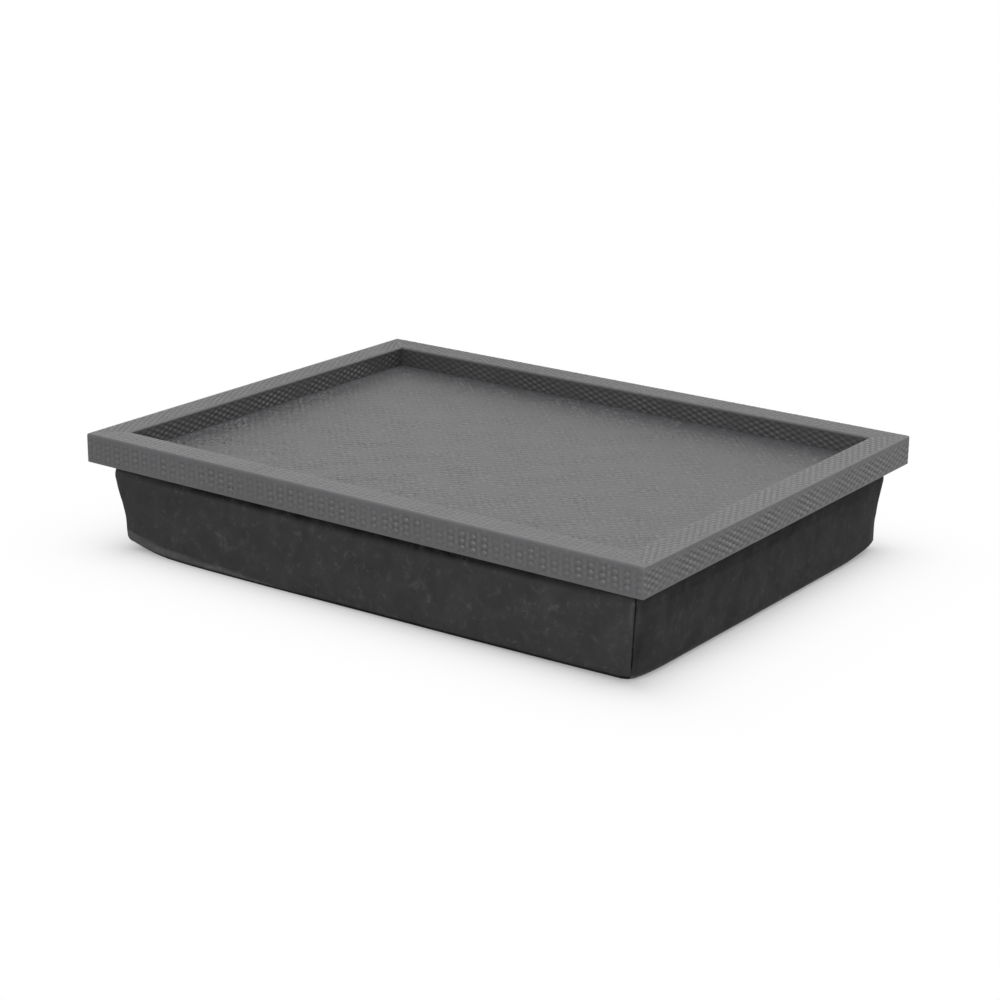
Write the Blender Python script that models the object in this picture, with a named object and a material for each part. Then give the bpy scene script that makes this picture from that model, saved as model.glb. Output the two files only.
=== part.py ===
"""A bed tray: a leather-covered tray held on a bean cushion by hook-and-loop strips.

Metres, +Z up. The origin lies on the floor under the middle of the cushion. +X runs along
the tray's long side, and -Y is the long side that faces whoever uses it.
"""

import math
from typing import NamedTuple

import bmesh
import bpy
import numpy as np
from mathutils import Matrix, Vector

MM = 0.001

# Meshes that touch keep this clearance
CLEARANCE = 0.3 * MM

# Tray and rails
TRAY_LENGTH = 550 * MM
TRAY_DEPTH = 420 * MM
RAIL_WIDTH = 25 * MM
RAIL_HEIGHT = 25 * MM
RIM_FILLET = 2.0 * MM
LEATHER_THICKNESS = 1.0 * MM
LEATHER_LIP = 10 * MM
FILLET_STEPS = 3

# Base panel and lining, let into the rails from below
PANEL_THICKNESS = 4.0 * MM
PANEL_SEAT = 8 * MM
LINING_THICKNESS = 0.7 * MM
LINING_RECESS = 0.7 * MM

# Flat wooden keys across the mitres
KEY_LENGTH = 15 * MM
KEY_WIDTH = 8 * MM
KEY_THICKNESS = 3 * MM

# Countersunk screws that hold the base panel up into the rails
SCREW_RADIUS = 1.5 * MM
SCREW_HEAD_RADIUS = 2.8 * MM
SCREW_HEAD_DEPTH = 1.5 * MM
SCREW_LENGTH = 14 * MM
SCREW_END_DISTANCE = 60 * MM
SCREW_PITCH = 150 * MM
SCREW_SIDES = 10

# Hook-and-loop strips
HOOK_THICKNESS = 1.5 * MM
LOOP_THICKNESS = 1.5 * MM
STRIP_WIDTH = 20 * MM
LONG_STRIP = 300 * MM
SHORT_STRIP = 180 * MM
STRIP_INSET = 60 * MM

# Cushion: insets are measured inwards from the tray's outer faces
CUSHION_HEIGHT = 71.8 * MM
TOP_INSET = 14 * MM
FLARE = 4.5 * MM
FLARE_REACH = 30 * MM
TOP_ROUND = 4 * MM
BOTTOM_ROUND = 7 * MM
CORNER_RADIUS = 11 * MM
SAG = 4 * MM
SAG_POWER = 2.5
SAG_START = 62 * MM
SAG_FULL = 18 * MM
CORNER_LIFT = 3 * MM
CORNER_LIFT_REACH = 60 * MM
CORNER_LIFT_HEIGHT = 30 * MM

# Cover, liner and filling
COVER_THICKNESS = 1.2 * MM
LINER_EASE = 0.6 * MM
LINER_THICKNESS = 0.5 * MM

# How finely the cushion's surfaces are divided
COVER_RUN_STEPS = 8
COVER_ARC_STEPS = 3
LINER_RUN_STEPS = 4
LINER_ARC_STEPS = 2
DROP_STEPS = 8
CAP_RINGS = (0.9, 0.7, 0.4)

# Zip in the cover's top panel, along X
ZIP_LENGTH = 300 * MM
ZIP_LANE = 1.2 * MM
COIL_WIDTH = 1.6 * MM
COIL_HEIGHT = 1.4 * MM
TAPE_WIDTH = 13 * MM
TAPE_THICKNESS = 0.5 * MM
TAPE_TAIL = 14 * MM
SLIT_WIDTH = 12 * MM
STOP_LENGTH = 3 * MM

# Zip slider and pull
SLIDER_LENGTH = 9 * MM
SLIDER_WIDTH = 7.4 * MM
UPPER_BLADE = 0.7 * MM
LOWER_BLADE = 0.6 * MM
FLANGE_WIDTH = 0.8 * MM
POST_LENGTH = 2 * MM
POST_WIDTH = 0.6 * MM
BRIDGE_SPAN = 4.4 * MM
BRIDGE_LEG = 0.8 * MM
BRIDGE_WIDTH = 1.6 * MM
BRIDGE_BAR = 0.6 * MM
PULL_LENGTH = 20 * MM
PULL_WIDTH = 5 * MM
PULL_THICKNESS = 0.6 * MM
PULL_BAR = 0.9 * MM

# Heights above the floor, stacked from the cushion's top to the rim
LOOP_BOTTOM = CUSHION_HEIGHT + CLEARANCE
HOOK_BOTTOM = LOOP_BOTTOM + LOOP_THICKNESS + CLEARANCE
LINING_BOTTOM = HOOK_BOTTOM + HOOK_THICKNESS + CLEARANCE
PANEL_BOTTOM = LINING_BOTTOM + LINING_THICKNESS + CLEARANCE
PANEL_TOP = PANEL_BOTTOM + PANEL_THICKNESS
SURFACE_BOTTOM = PANEL_TOP + CLEARANCE
SURFACE_TOP = SURFACE_BOTTOM + LEATHER_THICKNESS
RAIL_BOTTOM = LINING_BOTTOM - LINING_RECESS
RIM_TOP = RAIL_BOTTOM + RAIL_HEIGHT

# Heights of the zip's layers, from the cover's top panel down to the liner
TAPE_TOP = CUSHION_HEIGHT - COVER_THICKNESS - CLEARANCE
TAPE_BOTTOM = TAPE_TOP - TAPE_THICKNESS
LOWER_BLADE_TOP = TAPE_BOTTOM - CLEARANCE
LOWER_BLADE_BOTTOM = LOWER_BLADE_TOP - LOWER_BLADE
LINER_TOP = LOWER_BLADE_BOTTOM - CLEARANCE
COIL_BOTTOM = TAPE_TOP + CLEARANCE
COIL_TOP = COIL_BOTTOM + COIL_HEIGHT
UPPER_BLADE_BOTTOM = COIL_TOP + CLEARANCE
UPPER_BLADE_TOP = UPPER_BLADE_BOTTOM + UPPER_BLADE
PULL_BOTTOM = UPPER_BLADE_TOP + CLEARANCE
BRIDGE_BOTTOM = PULL_BOTTOM + PULL_THICKNESS + CLEARANCE

# The leather that wraps a rail, and the wooden core inside it
CORE_INSET = LEATHER_THICKNESS + CLEARANCE
SEAT_WALL = RAIL_WIDTH - PANEL_SEAT - CLEARANCE
MITRE_PULL_BACK = CLEARANCE / math.sqrt(2)

# Depths below the cover's outer face
LINER_DEPTH = COVER_THICKNESS + LINER_EASE
LINER_INNER = LINER_DEPTH + LINER_THICKNESS
FILL_DEPTH = LINER_INNER + CLEARANCE
LOW_INSET = TOP_INSET + FLARE


class Side(NamedTuple):
    """One of the tray's four sides: the front side turned by angle about the vertical."""

    name: str
    angle: float
    half_run: float
    half_reach: float
    strip: float


SIDES = [
    Side("front", 0.0, TRAY_LENGTH / 2, TRAY_DEPTH / 2, LONG_STRIP),
    Side("right", math.pi / 2, TRAY_DEPTH / 2, TRAY_LENGTH / 2, SHORT_STRIP),
    Side("back", math.pi, TRAY_LENGTH / 2, TRAY_DEPTH / 2, LONG_STRIP),
    Side("left", 3 * math.pi / 2, TRAY_DEPTH / 2, TRAY_LENGTH / 2, SHORT_STRIP),
]


def remove_everything():
    """Empty the scene that Blender starts with."""
    for thing in list(bpy.data.objects):
        bpy.data.objects.remove(thing, do_unlink=True)


def linear(channel):
    """One sRGB channel from 0 to 1 as linear light."""
    if channel <= 0.04045:
        return channel / 12.92
    return ((channel + 0.055) / 1.055) ** 2.4


def material(name, colour, roughness, metallic=0.0):
    """A Principled material from a hex colour such as 3A3A3A."""
    found = bpy.data.materials.get(name)
    if found:
        return found
    made = bpy.data.materials.new(name)
    made.use_nodes = True
    shader = made.node_tree.nodes["Principled BSDF"]
    channels = [linear(int(colour[i : i + 2], 16) / 255) for i in (0, 2, 4)]
    shader.inputs["Base Color"].default_value = (*channels, 1.0)
    shader.inputs["Roughness"].default_value = roughness
    shader.inputs["Metallic"].default_value = metallic
    made.diffuse_color = (*channels, 1.0)
    return made


def leather():
    return material("woven_embossed_leather", "4A4A4B", 0.5)


def suede():
    return material("black_suede_cloth", "2C2C2D", 0.95)


def cotton():
    return material("black_cotton_drill", "303133", 0.9)


def calico():
    return material("unbleached_calico", "D9D2C0", 0.9)


def beads():
    return material("polystyrene_beads", "F2F2EE", 0.8)


def poplar():
    return material("poplar_wood", "C9AE84", 0.6)


def plywood():
    return material("birch_plywood", "D3B988", 0.6)


def felt():
    return material("black_felt", "252526", 0.95)


def hook_tape():
    return material("nylon_hook_tape", "1D1D1E", 0.6)


def loop_tape():
    return material("nylon_loop_tape", "232324", 0.85)


def zip_tape():
    return material("polyester_zip_tape", "1F1F20", 0.85)


def zip_coil():
    return material("nylon_coil", "161617", 0.4)


def nickel():
    return material("nickel_plated_zinc", "B9B9B4", 0.3, 1.0)


def steel():
    return material("zinc_plated_steel", "B4B6B8", 0.35, 1.0)


def placed(mesh_name, mesh, finish, parent):
    """An object for a mesh, with its material and its parent."""
    thing = bpy.data.objects.new(mesh_name, mesh)
    bpy.context.scene.collection.objects.link(thing)
    if not mesh.materials:
        mesh.materials.append(finish)
    thing.parent = parent
    return thing


def empty(name, location):
    """A marker that carries a moving group, on its joint's axis."""
    marker = bpy.data.objects.new(name, None)
    marker.location = location
    bpy.context.scene.collection.objects.link(marker)
    return marker


def from_bmesh(name, shape):
    """A mesh from a bmesh, with its faces turned outwards."""
    bmesh.ops.recalc_face_normals(shape, faces=shape.faces)
    mesh = bpy.data.meshes.new(name)
    shape.to_mesh(mesh)
    shape.free()
    return mesh


def prism(name, outline, low, high):
    """A flat outline in X and Y, extruded from low to high."""
    shape = bmesh.new()
    face = shape.faces.new([shape.verts.new((x, y, low)) for x, y in outline])
    grown = bmesh.ops.extrude_face_region(shape, geom=[face])
    top = [v for v in grown["geom"] if isinstance(v, bmesh.types.BMVert)]
    bmesh.ops.translate(shape, verts=top, vec=(0, 0, high - low))
    return from_bmesh(name, shape)


def box(name, size, centre, turn=0.0):
    """A box of the given size, turned about the vertical."""
    shape = bmesh.new()
    bmesh.ops.create_cube(shape, size=1.0)
    place = Matrix.Translation(centre) @ Matrix.Rotation(turn, 4, "Z") @ Matrix.Diagonal((*size, 1))
    bmesh.ops.transform(shape, matrix=place, verts=shape.verts)
    return from_bmesh(name, shape)


def span_box(name, low, high):
    """A box between two opposite corners."""
    low, high = Vector(low), Vector(high)
    return box(name, high - low, (low + high) / 2)


def helper(name, mesh, parent=None):
    """A cutter or a tool for a Boolean, which isn't a piece of the tray."""
    tool = bpy.data.objects.new(name, mesh)
    tool.hide_render = True
    tool.display_type = "WIRE"
    tool.parent = parent
    bpy.context.scene.collection.objects.link(tool)
    return tool


def combine(thing, tool, operation="DIFFERENCE"):
    """Cut a tool out of an object, or join it on with operation UNION."""
    step = thing.modifiers.new(tool.name, "BOOLEAN")
    step.operation = operation
    step.object = tool
    step.solver = "EXACT"


def rectangle(half_x, half_y):
    """A rectangle's corners about the origin."""
    return [(-half_x, -half_y), (half_x, -half_y), (half_x, half_y), (-half_x, half_y)]


def filleted(corners, radii):
    """A closed outline of square corners, each with an arc of its radius where that is above zero."""
    points = []
    for i, radius in enumerate(radii):
        corner = Vector(corners[i])
        if radius <= 0:
            points.append(corner)
            continue
        before = (Vector(corners[i - 1]) - corner).normalized()
        after = (Vector(corners[(i + 1) % len(corners)]) - corner).normalized()
        centre = corner + radius * (before + after)
        for turn in np.linspace(0, math.pi / 2, FILLET_STEPS + 1):
            points.append(centre - radius * (after * math.cos(turn) + before * math.sin(turn)))
    return points


def mitred_bar(name, outline, side):
    """A bar along the front side whose ends are cut at 45 degrees.

    The outline's points are (distance inwards from the outer face, height), so a point's
    place along the bar ends as far short of the tray's corner as it lies inwards.
    """
    shape = bmesh.new()
    ends = []
    for end in (-1, 1):
        row = []
        for inward, height in outline:
            along = end * (side.half_run - inward - MITRE_PULL_BACK)
            row.append(shape.verts.new((along, inward - side.half_reach, height)))
        ends.append(row)
    first, last = ends
    for i in range(len(outline)):
        j = (i + 1) % len(outline)
        shape.faces.new((first[i], first[j], last[j], last[i]))
    caps = [shape.faces.new(row) for row in ends]
    bmesh.ops.recalc_face_normals(shape, faces=shape.faces)
    bmesh.ops.triangulate(shape, faces=caps, ngon_method="EAR_CLIP")
    return from_bmesh(name, shape)


def leather_outline():
    """Section of a rail's leather: outer face, top, inner face, and a lip turned under."""
    inner = LEATHER_THICKNESS
    corners = [
        (LEATHER_LIP, RAIL_BOTTOM),
        (0, RAIL_BOTTOM),
        (0, RIM_TOP),
        (RAIL_WIDTH, RIM_TOP),
        (RAIL_WIDTH, SURFACE_BOTTOM),
        (RAIL_WIDTH - inner, SURFACE_BOTTOM),
        (RAIL_WIDTH - inner, RIM_TOP - inner),
        (inner, RIM_TOP - inner),
        (inner, RAIL_BOTTOM + inner),
        (LEATHER_LIP, RAIL_BOTTOM + inner),
    ]
    outer, inside = RIM_FILLET, max(RIM_FILLET - inner, 0)
    return filleted(corners, [0, outer, outer, outer, 0, 0, inside, inside, inside, 0])


def core_outline():
    """Section of a rail's wooden core, with the rebate that the base panel sits in."""
    low, high = RAIL_BOTTOM + CORE_INSET, RIM_TOP - CORE_INSET
    corners = [
        (SEAT_WALL, low),
        (CORE_INSET, low),
        (CORE_INSET, high),
        (RAIL_WIDTH - CORE_INSET, high),
        (RAIL_WIDTH - CORE_INSET, SURFACE_BOTTOM),
        (SEAT_WALL, SURFACE_BOTTOM),
    ]
    arc = max(RIM_FILLET - CORE_INSET, 0)
    return filleted(corners, [0, arc, arc, arc, 0, 0])


def screw_places(side):
    """Where the screws stand along a side, evenly between its end distances."""
    last = side.half_run - SCREW_END_DISTANCE
    count = max(2, round(2 * last / SCREW_PITCH) + 1)
    inward = RAIL_WIDTH - PANEL_SEAT / 2
    turn = Matrix.Rotation(side.angle, 4, "Z")
    for along in np.linspace(-last, last, count):
        yield turn @ Vector((along, inward - side.half_reach, PANEL_BOTTOM))


def turned(name, profile):
    """A closed profile of (radius, height) from axis to axis, spun about the vertical."""
    shape = bmesh.new()
    line = [shape.verts.new((radius, 0, height)) for radius, height in profile]
    edges = [shape.edges.new(pair) for pair in zip(line, line[1:])]
    bmesh.ops.spin(
        shape,
        geom=line + edges,
        cent=(0, 0, 0),
        axis=(0, 0, 1),
        angle=2 * math.pi,
        steps=SCREW_SIDES,
    )
    bmesh.ops.remove_doubles(shape, verts=shape.verts, dist=0.01 * MM)
    return from_bmesh(name, shape)


def screw_mesh():
    """A countersunk screw, point up, with its head's face at height 0."""
    profile = [
        (0, 0),
        (SCREW_HEAD_RADIUS, 0),
        (SCREW_RADIUS, SCREW_HEAD_DEPTH),
        (SCREW_RADIUS, SCREW_LENGTH),
        (0, SCREW_LENGTH),
    ]
    return turned("panel_screw", profile)


def screw_hole_mesh():
    """The room that a screw needs: its own shape grown by the clearance, open below."""
    head, shank = SCREW_HEAD_RADIUS + CLEARANCE, SCREW_RADIUS + CLEARANCE
    profile = [
        (0, -CLEARANCE),
        (head, -CLEARANCE),
        (head, CLEARANCE),
        (shank, SCREW_HEAD_DEPTH + CLEARANCE),
        (shank, SCREW_LENGTH + CLEARANCE),
        (0, SCREW_LENGTH + CLEARANCE),
    ]
    return turned("screw_hole", profile)


def build_rails(tray):
    """The wooden cores and the leather round each of them."""
    cores = []
    for side in SIDES:
        name = f"rail_core_{side.name}"
        core = placed(name, mitred_bar(name, core_outline(), side), poplar(), tray)
        core.rotation_euler.z = side.angle
        cores.append(core)
        name = f"rail_leather_{side.name}"
        wrap = placed(name, mitred_bar(name, leather_outline(), side), leather(), tray)
        wrap.rotation_euler.z = side.angle
    return cores


def build_keys(tray, cores):
    """A flat key square across each mitre, in a slot cut from both cores that meet there."""
    size = (KEY_LENGTH, KEY_WIDTH, KEY_THICKNESS)
    key_mesh = box("mitre_key", size, (0, 0, 0))
    slot_mesh = box("key_slot", [s + 2 * CLEARANCE for s in size], (0, 0, 0))
    height = (SURFACE_BOTTOM + RIM_TOP - CORE_INSET) / 2
    for i, side in enumerate(SIDES):
        j = (i + 1) % len(SIDES)
        corner = f"{side.name}_{SIDES[j].name}"
        along, outward = side.half_run - RAIL_WIDTH / 2, side.half_reach - RAIL_WIDTH / 2
        key = placed(f"mitre_key_{corner}", key_mesh, poplar(), tray)
        slot = helper(f"key_slot_{corner}", slot_mesh, tray)
        for thing in (key, slot):
            thing.location = Matrix.Rotation(side.angle, 3, "Z") @ Vector((along, -outward, height))
            thing.rotation_euler.z = side.angle + math.pi / 4
        combine(cores[i], slot)
        combine(cores[j], slot)


def build_panel(tray, cores):
    """The plywood panel, screwed up into the rails, its leather above and its lining below."""
    seat = RAIL_WIDTH - PANEL_SEAT
    outline = rectangle(TRAY_LENGTH / 2 - seat, TRAY_DEPTH / 2 - seat)
    panel_mesh = prism("base_panel", outline, PANEL_BOTTOM, PANEL_TOP)
    panel = placed("base_panel", panel_mesh, plywood(), tray)
    lining_mesh = prism("underside_lining", outline, LINING_BOTTOM, LINING_BOTTOM + LINING_THICKNESS)
    placed("underside_lining", lining_mesh, felt(), tray)

    one_screw, one_hole = screw_mesh(), screw_hole_mesh()
    for side, core in zip(SIDES, cores):
        for number, place in enumerate(screw_places(side), 1):
            placed(f"panel_screw_{side.name}_{number}", one_screw, steel(), tray).location = place
            hole = helper(f"screw_hole_{side.name}_{number}", one_hole, tray)
            hole.location = place
            combine(core, hole)
            combine(panel, hole)

    edge = RAIL_WIDTH + CLEARANCE
    outline = rectangle(TRAY_LENGTH / 2 - edge, TRAY_DEPTH / 2 - edge)
    mesh = prism("panel_leather", outline, SURFACE_BOTTOM, SURFACE_TOP)
    placed("panel_leather", mesh, leather(), tray)


def build_strips(tray, cushion):
    """A hook strip under the tray and a loop strip on the cushion, along each side."""
    for side in SIDES:
        outline = rectangle(side.strip / 2, STRIP_WIDTH / 2)
        middle = Vector((0, STRIP_INSET - side.half_reach, 0))
        for kind, low, thickness, finish, parent in (
            ("hook_strip", HOOK_BOTTOM, HOOK_THICKNESS, hook_tape(), tray),
            ("loop_strip", LOOP_BOTTOM, LOOP_THICKNESS, loop_tape(), cushion),
        ):
            name = f"{kind}_{side.name}"
            strip = placed(name, prism(name, outline, low, low + thickness), finish, parent)
            strip.rotation_euler.z = side.angle
            strip.location = Matrix.Rotation(side.angle, 3, "Z") @ middle


def smooth(share):
    """An S-curve from 0 to 1 with level ends."""
    share = np.clip(share, 0, 1)
    return share * share * (3 - 2 * share)


def profile(depth, top, arc_steps):
    """The cushion's side from its top seam down to its bottom seam.

    The cover's outer face has depth 0 and the layers inside it lie deeper. The line rounds
    over from the level top, flares inwards as it falls, and turns under on the bottom.
    Each row is (inset, height, by how much the plan's corner radius shrinks).
    """
    top_arc, bottom_arc = TOP_ROUND - depth, BOTTOM_ROUND - depth
    rows = []
    for turn in np.linspace(math.pi / 2, 0, arc_steps + 1):
        inset = TOP_INSET + TOP_ROUND - top_arc * math.cos(turn)
        rows.append((inset, top - top_arc + top_arc * math.sin(turn), inset - TOP_INSET))
    for height in np.linspace(top - top_arc, BOTTOM_ROUND, DROP_STEPS + 1)[1:-1]:
        share = np.clip((CUSHION_HEIGHT - TOP_ROUND - height) / FLARE_REACH, 0, 1)
        slope = -FLARE * 6 * share * (1 - share) / FLARE_REACH
        inward = depth / math.hypot(1, slope)
        rows.append((TOP_INSET + FLARE * smooth(share) + inward, height - slope * inward, inward))
    for turn in np.linspace(0, -math.pi / 2, arc_steps + 1):
        inset = LOW_INSET + BOTTOM_ROUND - bottom_arc * math.cos(turn)
        rows.append((inset, BOTTOM_ROUND + bottom_arc * math.sin(turn), inset - LOW_INSET))
    return np.array(rows)


def side_grid(side, rows, run_steps, arc_steps, seam=0.0):
    """Points of one side of the cushion, a row for each profile row.

    The plan is a rectangle with round corners, of which a side owns half at each end. Its
    straight run is pushed out most at its middle and near the floor, where the beads sag.
    A seam pulls both ends back by half its width.
    """
    run = np.sin(np.linspace(-math.pi / 2, math.pi / 2, run_steps + 1))
    arc = np.linspace(0, math.pi / 4, arc_steps + 1)[1:]
    place = np.concatenate([-np.ones(arc_steps), run, np.ones(arc_steps)])
    turn = np.concatenate([-arc[::-1], np.zeros(run_steps + 1), arc])
    inset, height, shrink = (rows[:, [k]] for k in range(3))
    radius = CORNER_RADIUS - shrink
    turn = np.clip(turn, seam / radius / 2 - math.pi / 4, math.pi / 4 - seam / radius / 2)
    sag = SAG * (1 - np.abs(place) ** SAG_POWER) * smooth((SAG_START - height) / (SAG_START - SAG_FULL))
    along = place * (side.half_run - inset - radius) + radius * np.sin(turn)
    outward = side.half_reach - inset - radius + radius * np.cos(turn) + sag
    c, s = math.cos(side.angle), math.sin(side.angle)
    grid = np.empty((*along.shape, 3))
    grid[..., 0] = c * along + s * outward
    grid[..., 1] = s * along - c * outward
    grid[..., 2] = height
    return grid


def loops(rows, run_steps, arc_steps):
    """The four sides' grids joined into closed loops, without their shared corner points."""
    grids = [side_grid(side, rows, run_steps, arc_steps)[:, :-1] for side in SIDES]
    return list(np.concatenate(grids, axis=1))


def rings(loop):
    """Ever smaller copies of a level loop, from its edge towards its middle."""
    middle = np.array([0.0, 0.0, loop[0, 2]])
    return [middle + share * (loop - middle) for share in CAP_RINGS]


def lifted(points):
    """Points with the cushion's bottom corners raised, where the cover is drawn up."""
    foot_x = TRAY_LENGTH / 2 - LOW_INSET
    foot_y = TRAY_DEPTH / 2 - LOW_INSET
    far = np.hypot(foot_x - np.abs(points[..., 0]), foot_y - np.abs(points[..., 1]))
    near = 1 - smooth(far / CORNER_LIFT_REACH)
    low = 1 - smooth(points[..., 2] / CORNER_LIFT_HEIGHT)
    risen = points.copy()
    risen[..., 2] += CORNER_LIFT * near * low
    return risen


def split_outwards(points, quads):
    """Quads as triangles, each cut along the diagonal whose middle lies further out.

    Layers that follow each other are then cut alike, so none of them reaches the next.
    """
    middle = np.array([0, 0, CUSHION_HEIGHT / 2])
    p, q = np.asarray(points), np.asarray(quads)
    first = np.linalg.norm((p[q[:, 0]] + p[q[:, 2]]) / 2 - middle, axis=1)
    second = np.linalg.norm((p[q[:, 1]] + p[q[:, 3]]) / 2 - middle, axis=1)
    turned_quads = np.where((first >= second)[:, None], q, np.roll(q, -1, axis=1))
    return [*turned_quads[:, [0, 1, 2]].tolist(), *turned_quads[:, [0, 2, 3]].tolist()]


def from_faces(name, points, quads, triangles=()):
    """A mesh from points and faces, turned outwards and shaded smooth over its curves."""
    mesh = bpy.data.meshes.new(name)
    mesh.from_pydata(points.tolist(), [], [*split_outwards(points, quads), *triangles])
    shape = bmesh.new()
    shape.from_mesh(mesh)
    bmesh.ops.recalc_face_normals(shape, faces=shape.faces)
    shape.to_mesh(mesh)
    shape.free()
    mesh.shade_smooth()
    mesh.set_sharp_from_angle(angle=math.radians(40))
    return mesh


def thick_sheet(name, outer, inner):
    """A closed sheet between two grids of points, with a rim round all four edges."""
    rows, columns = outer.shape[:2]
    index = np.arange(2 * rows * columns).reshape(2, rows, columns)
    quads = []
    for layer in index:
        corners = (layer[:-1, :-1], layer[1:, :-1], layer[1:, 1:], layer[:-1, 1:])
        quads.append(np.stack(corners, axis=-1).reshape(-1, 4))
    for edge in (index[:, 0, :], index[:, -1, :], index[:, :, 0], index[:, :, -1]):
        quads.append(np.stack((edge[0, :-1], edge[0, 1:], edge[1, 1:], edge[1, :-1]), axis=-1))
    points = np.concatenate([outer.reshape(-1, 3), inner.reshape(-1, 3)])
    return from_faces(name, lifted(points), np.concatenate(quads))


def lofted(name, loop_list):
    """A closed body through loops of as many points, with a point at its first and last middle."""
    count = len(loop_list[0])
    poles = [loop_list[0].mean(axis=0)], [loop_list[-1].mean(axis=0)]
    points = np.concatenate([poles[0], *loop_list, poles[1]])
    index = np.arange(1, len(points) - 1).reshape(-1, count)
    following = np.roll(index, -1, axis=1)
    quads = np.stack((index[:-1], following[:-1], following[1:], index[1:]), axis=-1)
    last = len(points) - 1
    fans = [(0, int(k), int(j)) for j, k in zip(index[0], following[0])]
    fans += [(last, int(j), int(k)) for j, k in zip(index[-1], following[-1])]
    return from_faces(name, lifted(points), quads.reshape(-1, 4), fans)


def seam_row(height, depth):
    """A profile row just inside the seam that closes the cushion's top or bottom."""
    edge = TOP_INSET if depth == TOP_ROUND else LOW_INSET
    return [edge + depth + CLEARANCE, height, depth + CLEARANCE]


def top_outline():
    """The plan of the panel that closes the cushion's top, inside its seam."""
    rows = np.array([seam_row(0, TOP_ROUND)])
    flat = loops(rows, 1, COVER_ARC_STEPS)[0]
    return [(x, y) for x, y, _ in flat]


def build_cover(cushion):
    """The suede sides and bottom, and the cotton top with its slit for the zip."""
    outer_rows = profile(0, CUSHION_HEIGHT, COVER_ARC_STEPS)
    inner_rows = profile(COVER_THICKNESS, CUSHION_HEIGHT - COVER_THICKNESS, COVER_ARC_STEPS)
    for side in SIDES:
        name = f"cover_{side.name}_panel"
        outer, inner = (
            side_grid(side, rows, COVER_RUN_STEPS, COVER_ARC_STEPS, CLEARANCE)
            for rows in (outer_rows, inner_rows)
        )
        placed(name, thick_sheet(name, outer, inner), suede(), cushion)

    faces = []
    for height in (0, COVER_THICKNESS):
        rows = np.array([seam_row(height, BOTTOM_ROUND)])
        edge = loops(rows, COVER_RUN_STEPS, COVER_ARC_STEPS)[0]
        faces.append([edge, *rings(edge)])
    under, over = faces
    mesh = lofted("cover_bottom_panel", under[::-1] + over)
    placed("cover_bottom_panel", mesh, suede(), cushion)

    low = CUSHION_HEIGHT - COVER_THICKNESS
    mesh = prism("cover_top_panel", top_outline(), low, CUSHION_HEIGHT)
    top = placed("cover_top_panel", mesh, cotton(), cushion)
    slit_length = ZIP_LENGTH + 2 * (STOP_LENGTH + 2 * CLEARANCE)
    slit = box(
        "zip_slit",
        (slit_length, SLIT_WIDTH, 3 * COVER_THICKNESS),
        (0, 0, low + COVER_THICKNESS / 2),
    )
    combine(top, helper("zip_slit", slit, cushion))


def build_liner(cushion):
    """The calico bag round the beads, as a tub and its lid, and the beads in it."""
    outside, inside, fill = (
        loops(profile(depth, top, LINER_ARC_STEPS), LINER_RUN_STEPS, LINER_ARC_STEPS)
        for depth, top in (
            (LINER_DEPTH, LINER_TOP),
            (LINER_INNER, LINER_TOP - LINER_THICKNESS),
            (FILL_DEPTH, LINER_TOP - LINER_THICKNESS - CLEARANCE),
        )
    )
    walls = rings(inside[-1])[::-1] + inside[::-1] + outside + rings(outside[-1])
    placed("liner_tub", lofted("liner_tub", walls), calico(), cushion)

    body = rings(fill[0])[::-1] + fill + rings(fill[-1])
    placed("bead_filling", lofted("bead_filling", body), beads(), cushion)

    mesh = prism("liner_lid", top_outline(), LINER_TOP - LINER_THICKNESS, LINER_TOP)
    placed("liner_lid", mesh, calico(), cushion)


def zip_strip(name, sign, width, half_length, low, high):
    """A bar along the zip that starts at its lane and is width wide, on the side of sign."""
    near, far = sorted((sign * ZIP_LANE / 2, sign * (ZIP_LANE / 2 + width)))
    return span_box(name, (-half_length, near, low), (half_length, far, high))


def build_zip(cushion):
    """The zip's tapes and coils either side of its lane, and a stop at each end."""
    half_coil = ZIP_LENGTH / 2
    half_tape = half_coil + TAPE_TAIL
    for end, sign in (("front", -1), ("back", 1)):
        name = f"zip_tape_{end}"
        mesh = zip_strip(name, sign, TAPE_WIDTH, half_tape, TAPE_BOTTOM, TAPE_TOP)
        placed(name, mesh, zip_tape(), cushion)
        name = f"zip_coil_{end}"
        mesh = zip_strip(name, sign, COIL_WIDTH, half_coil, COIL_BOTTOM, COIL_TOP)
        placed(name, mesh, zip_coil(), cushion)

    half_stop = ZIP_LANE / 2 + COIL_WIDTH
    for name, sign in (("zip_bottom_stop", -1), ("zip_top_stop", 1)):
        near, far = sorted((sign * (half_coil + CLEARANCE), sign * (half_coil + CLEARANCE + STOP_LENGTH)))
        mesh = span_box(name, (near, -half_stop, COIL_BOTTOM), (far, half_stop, COIL_TOP))
        placed(name, mesh, nickel(), cushion)


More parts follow.
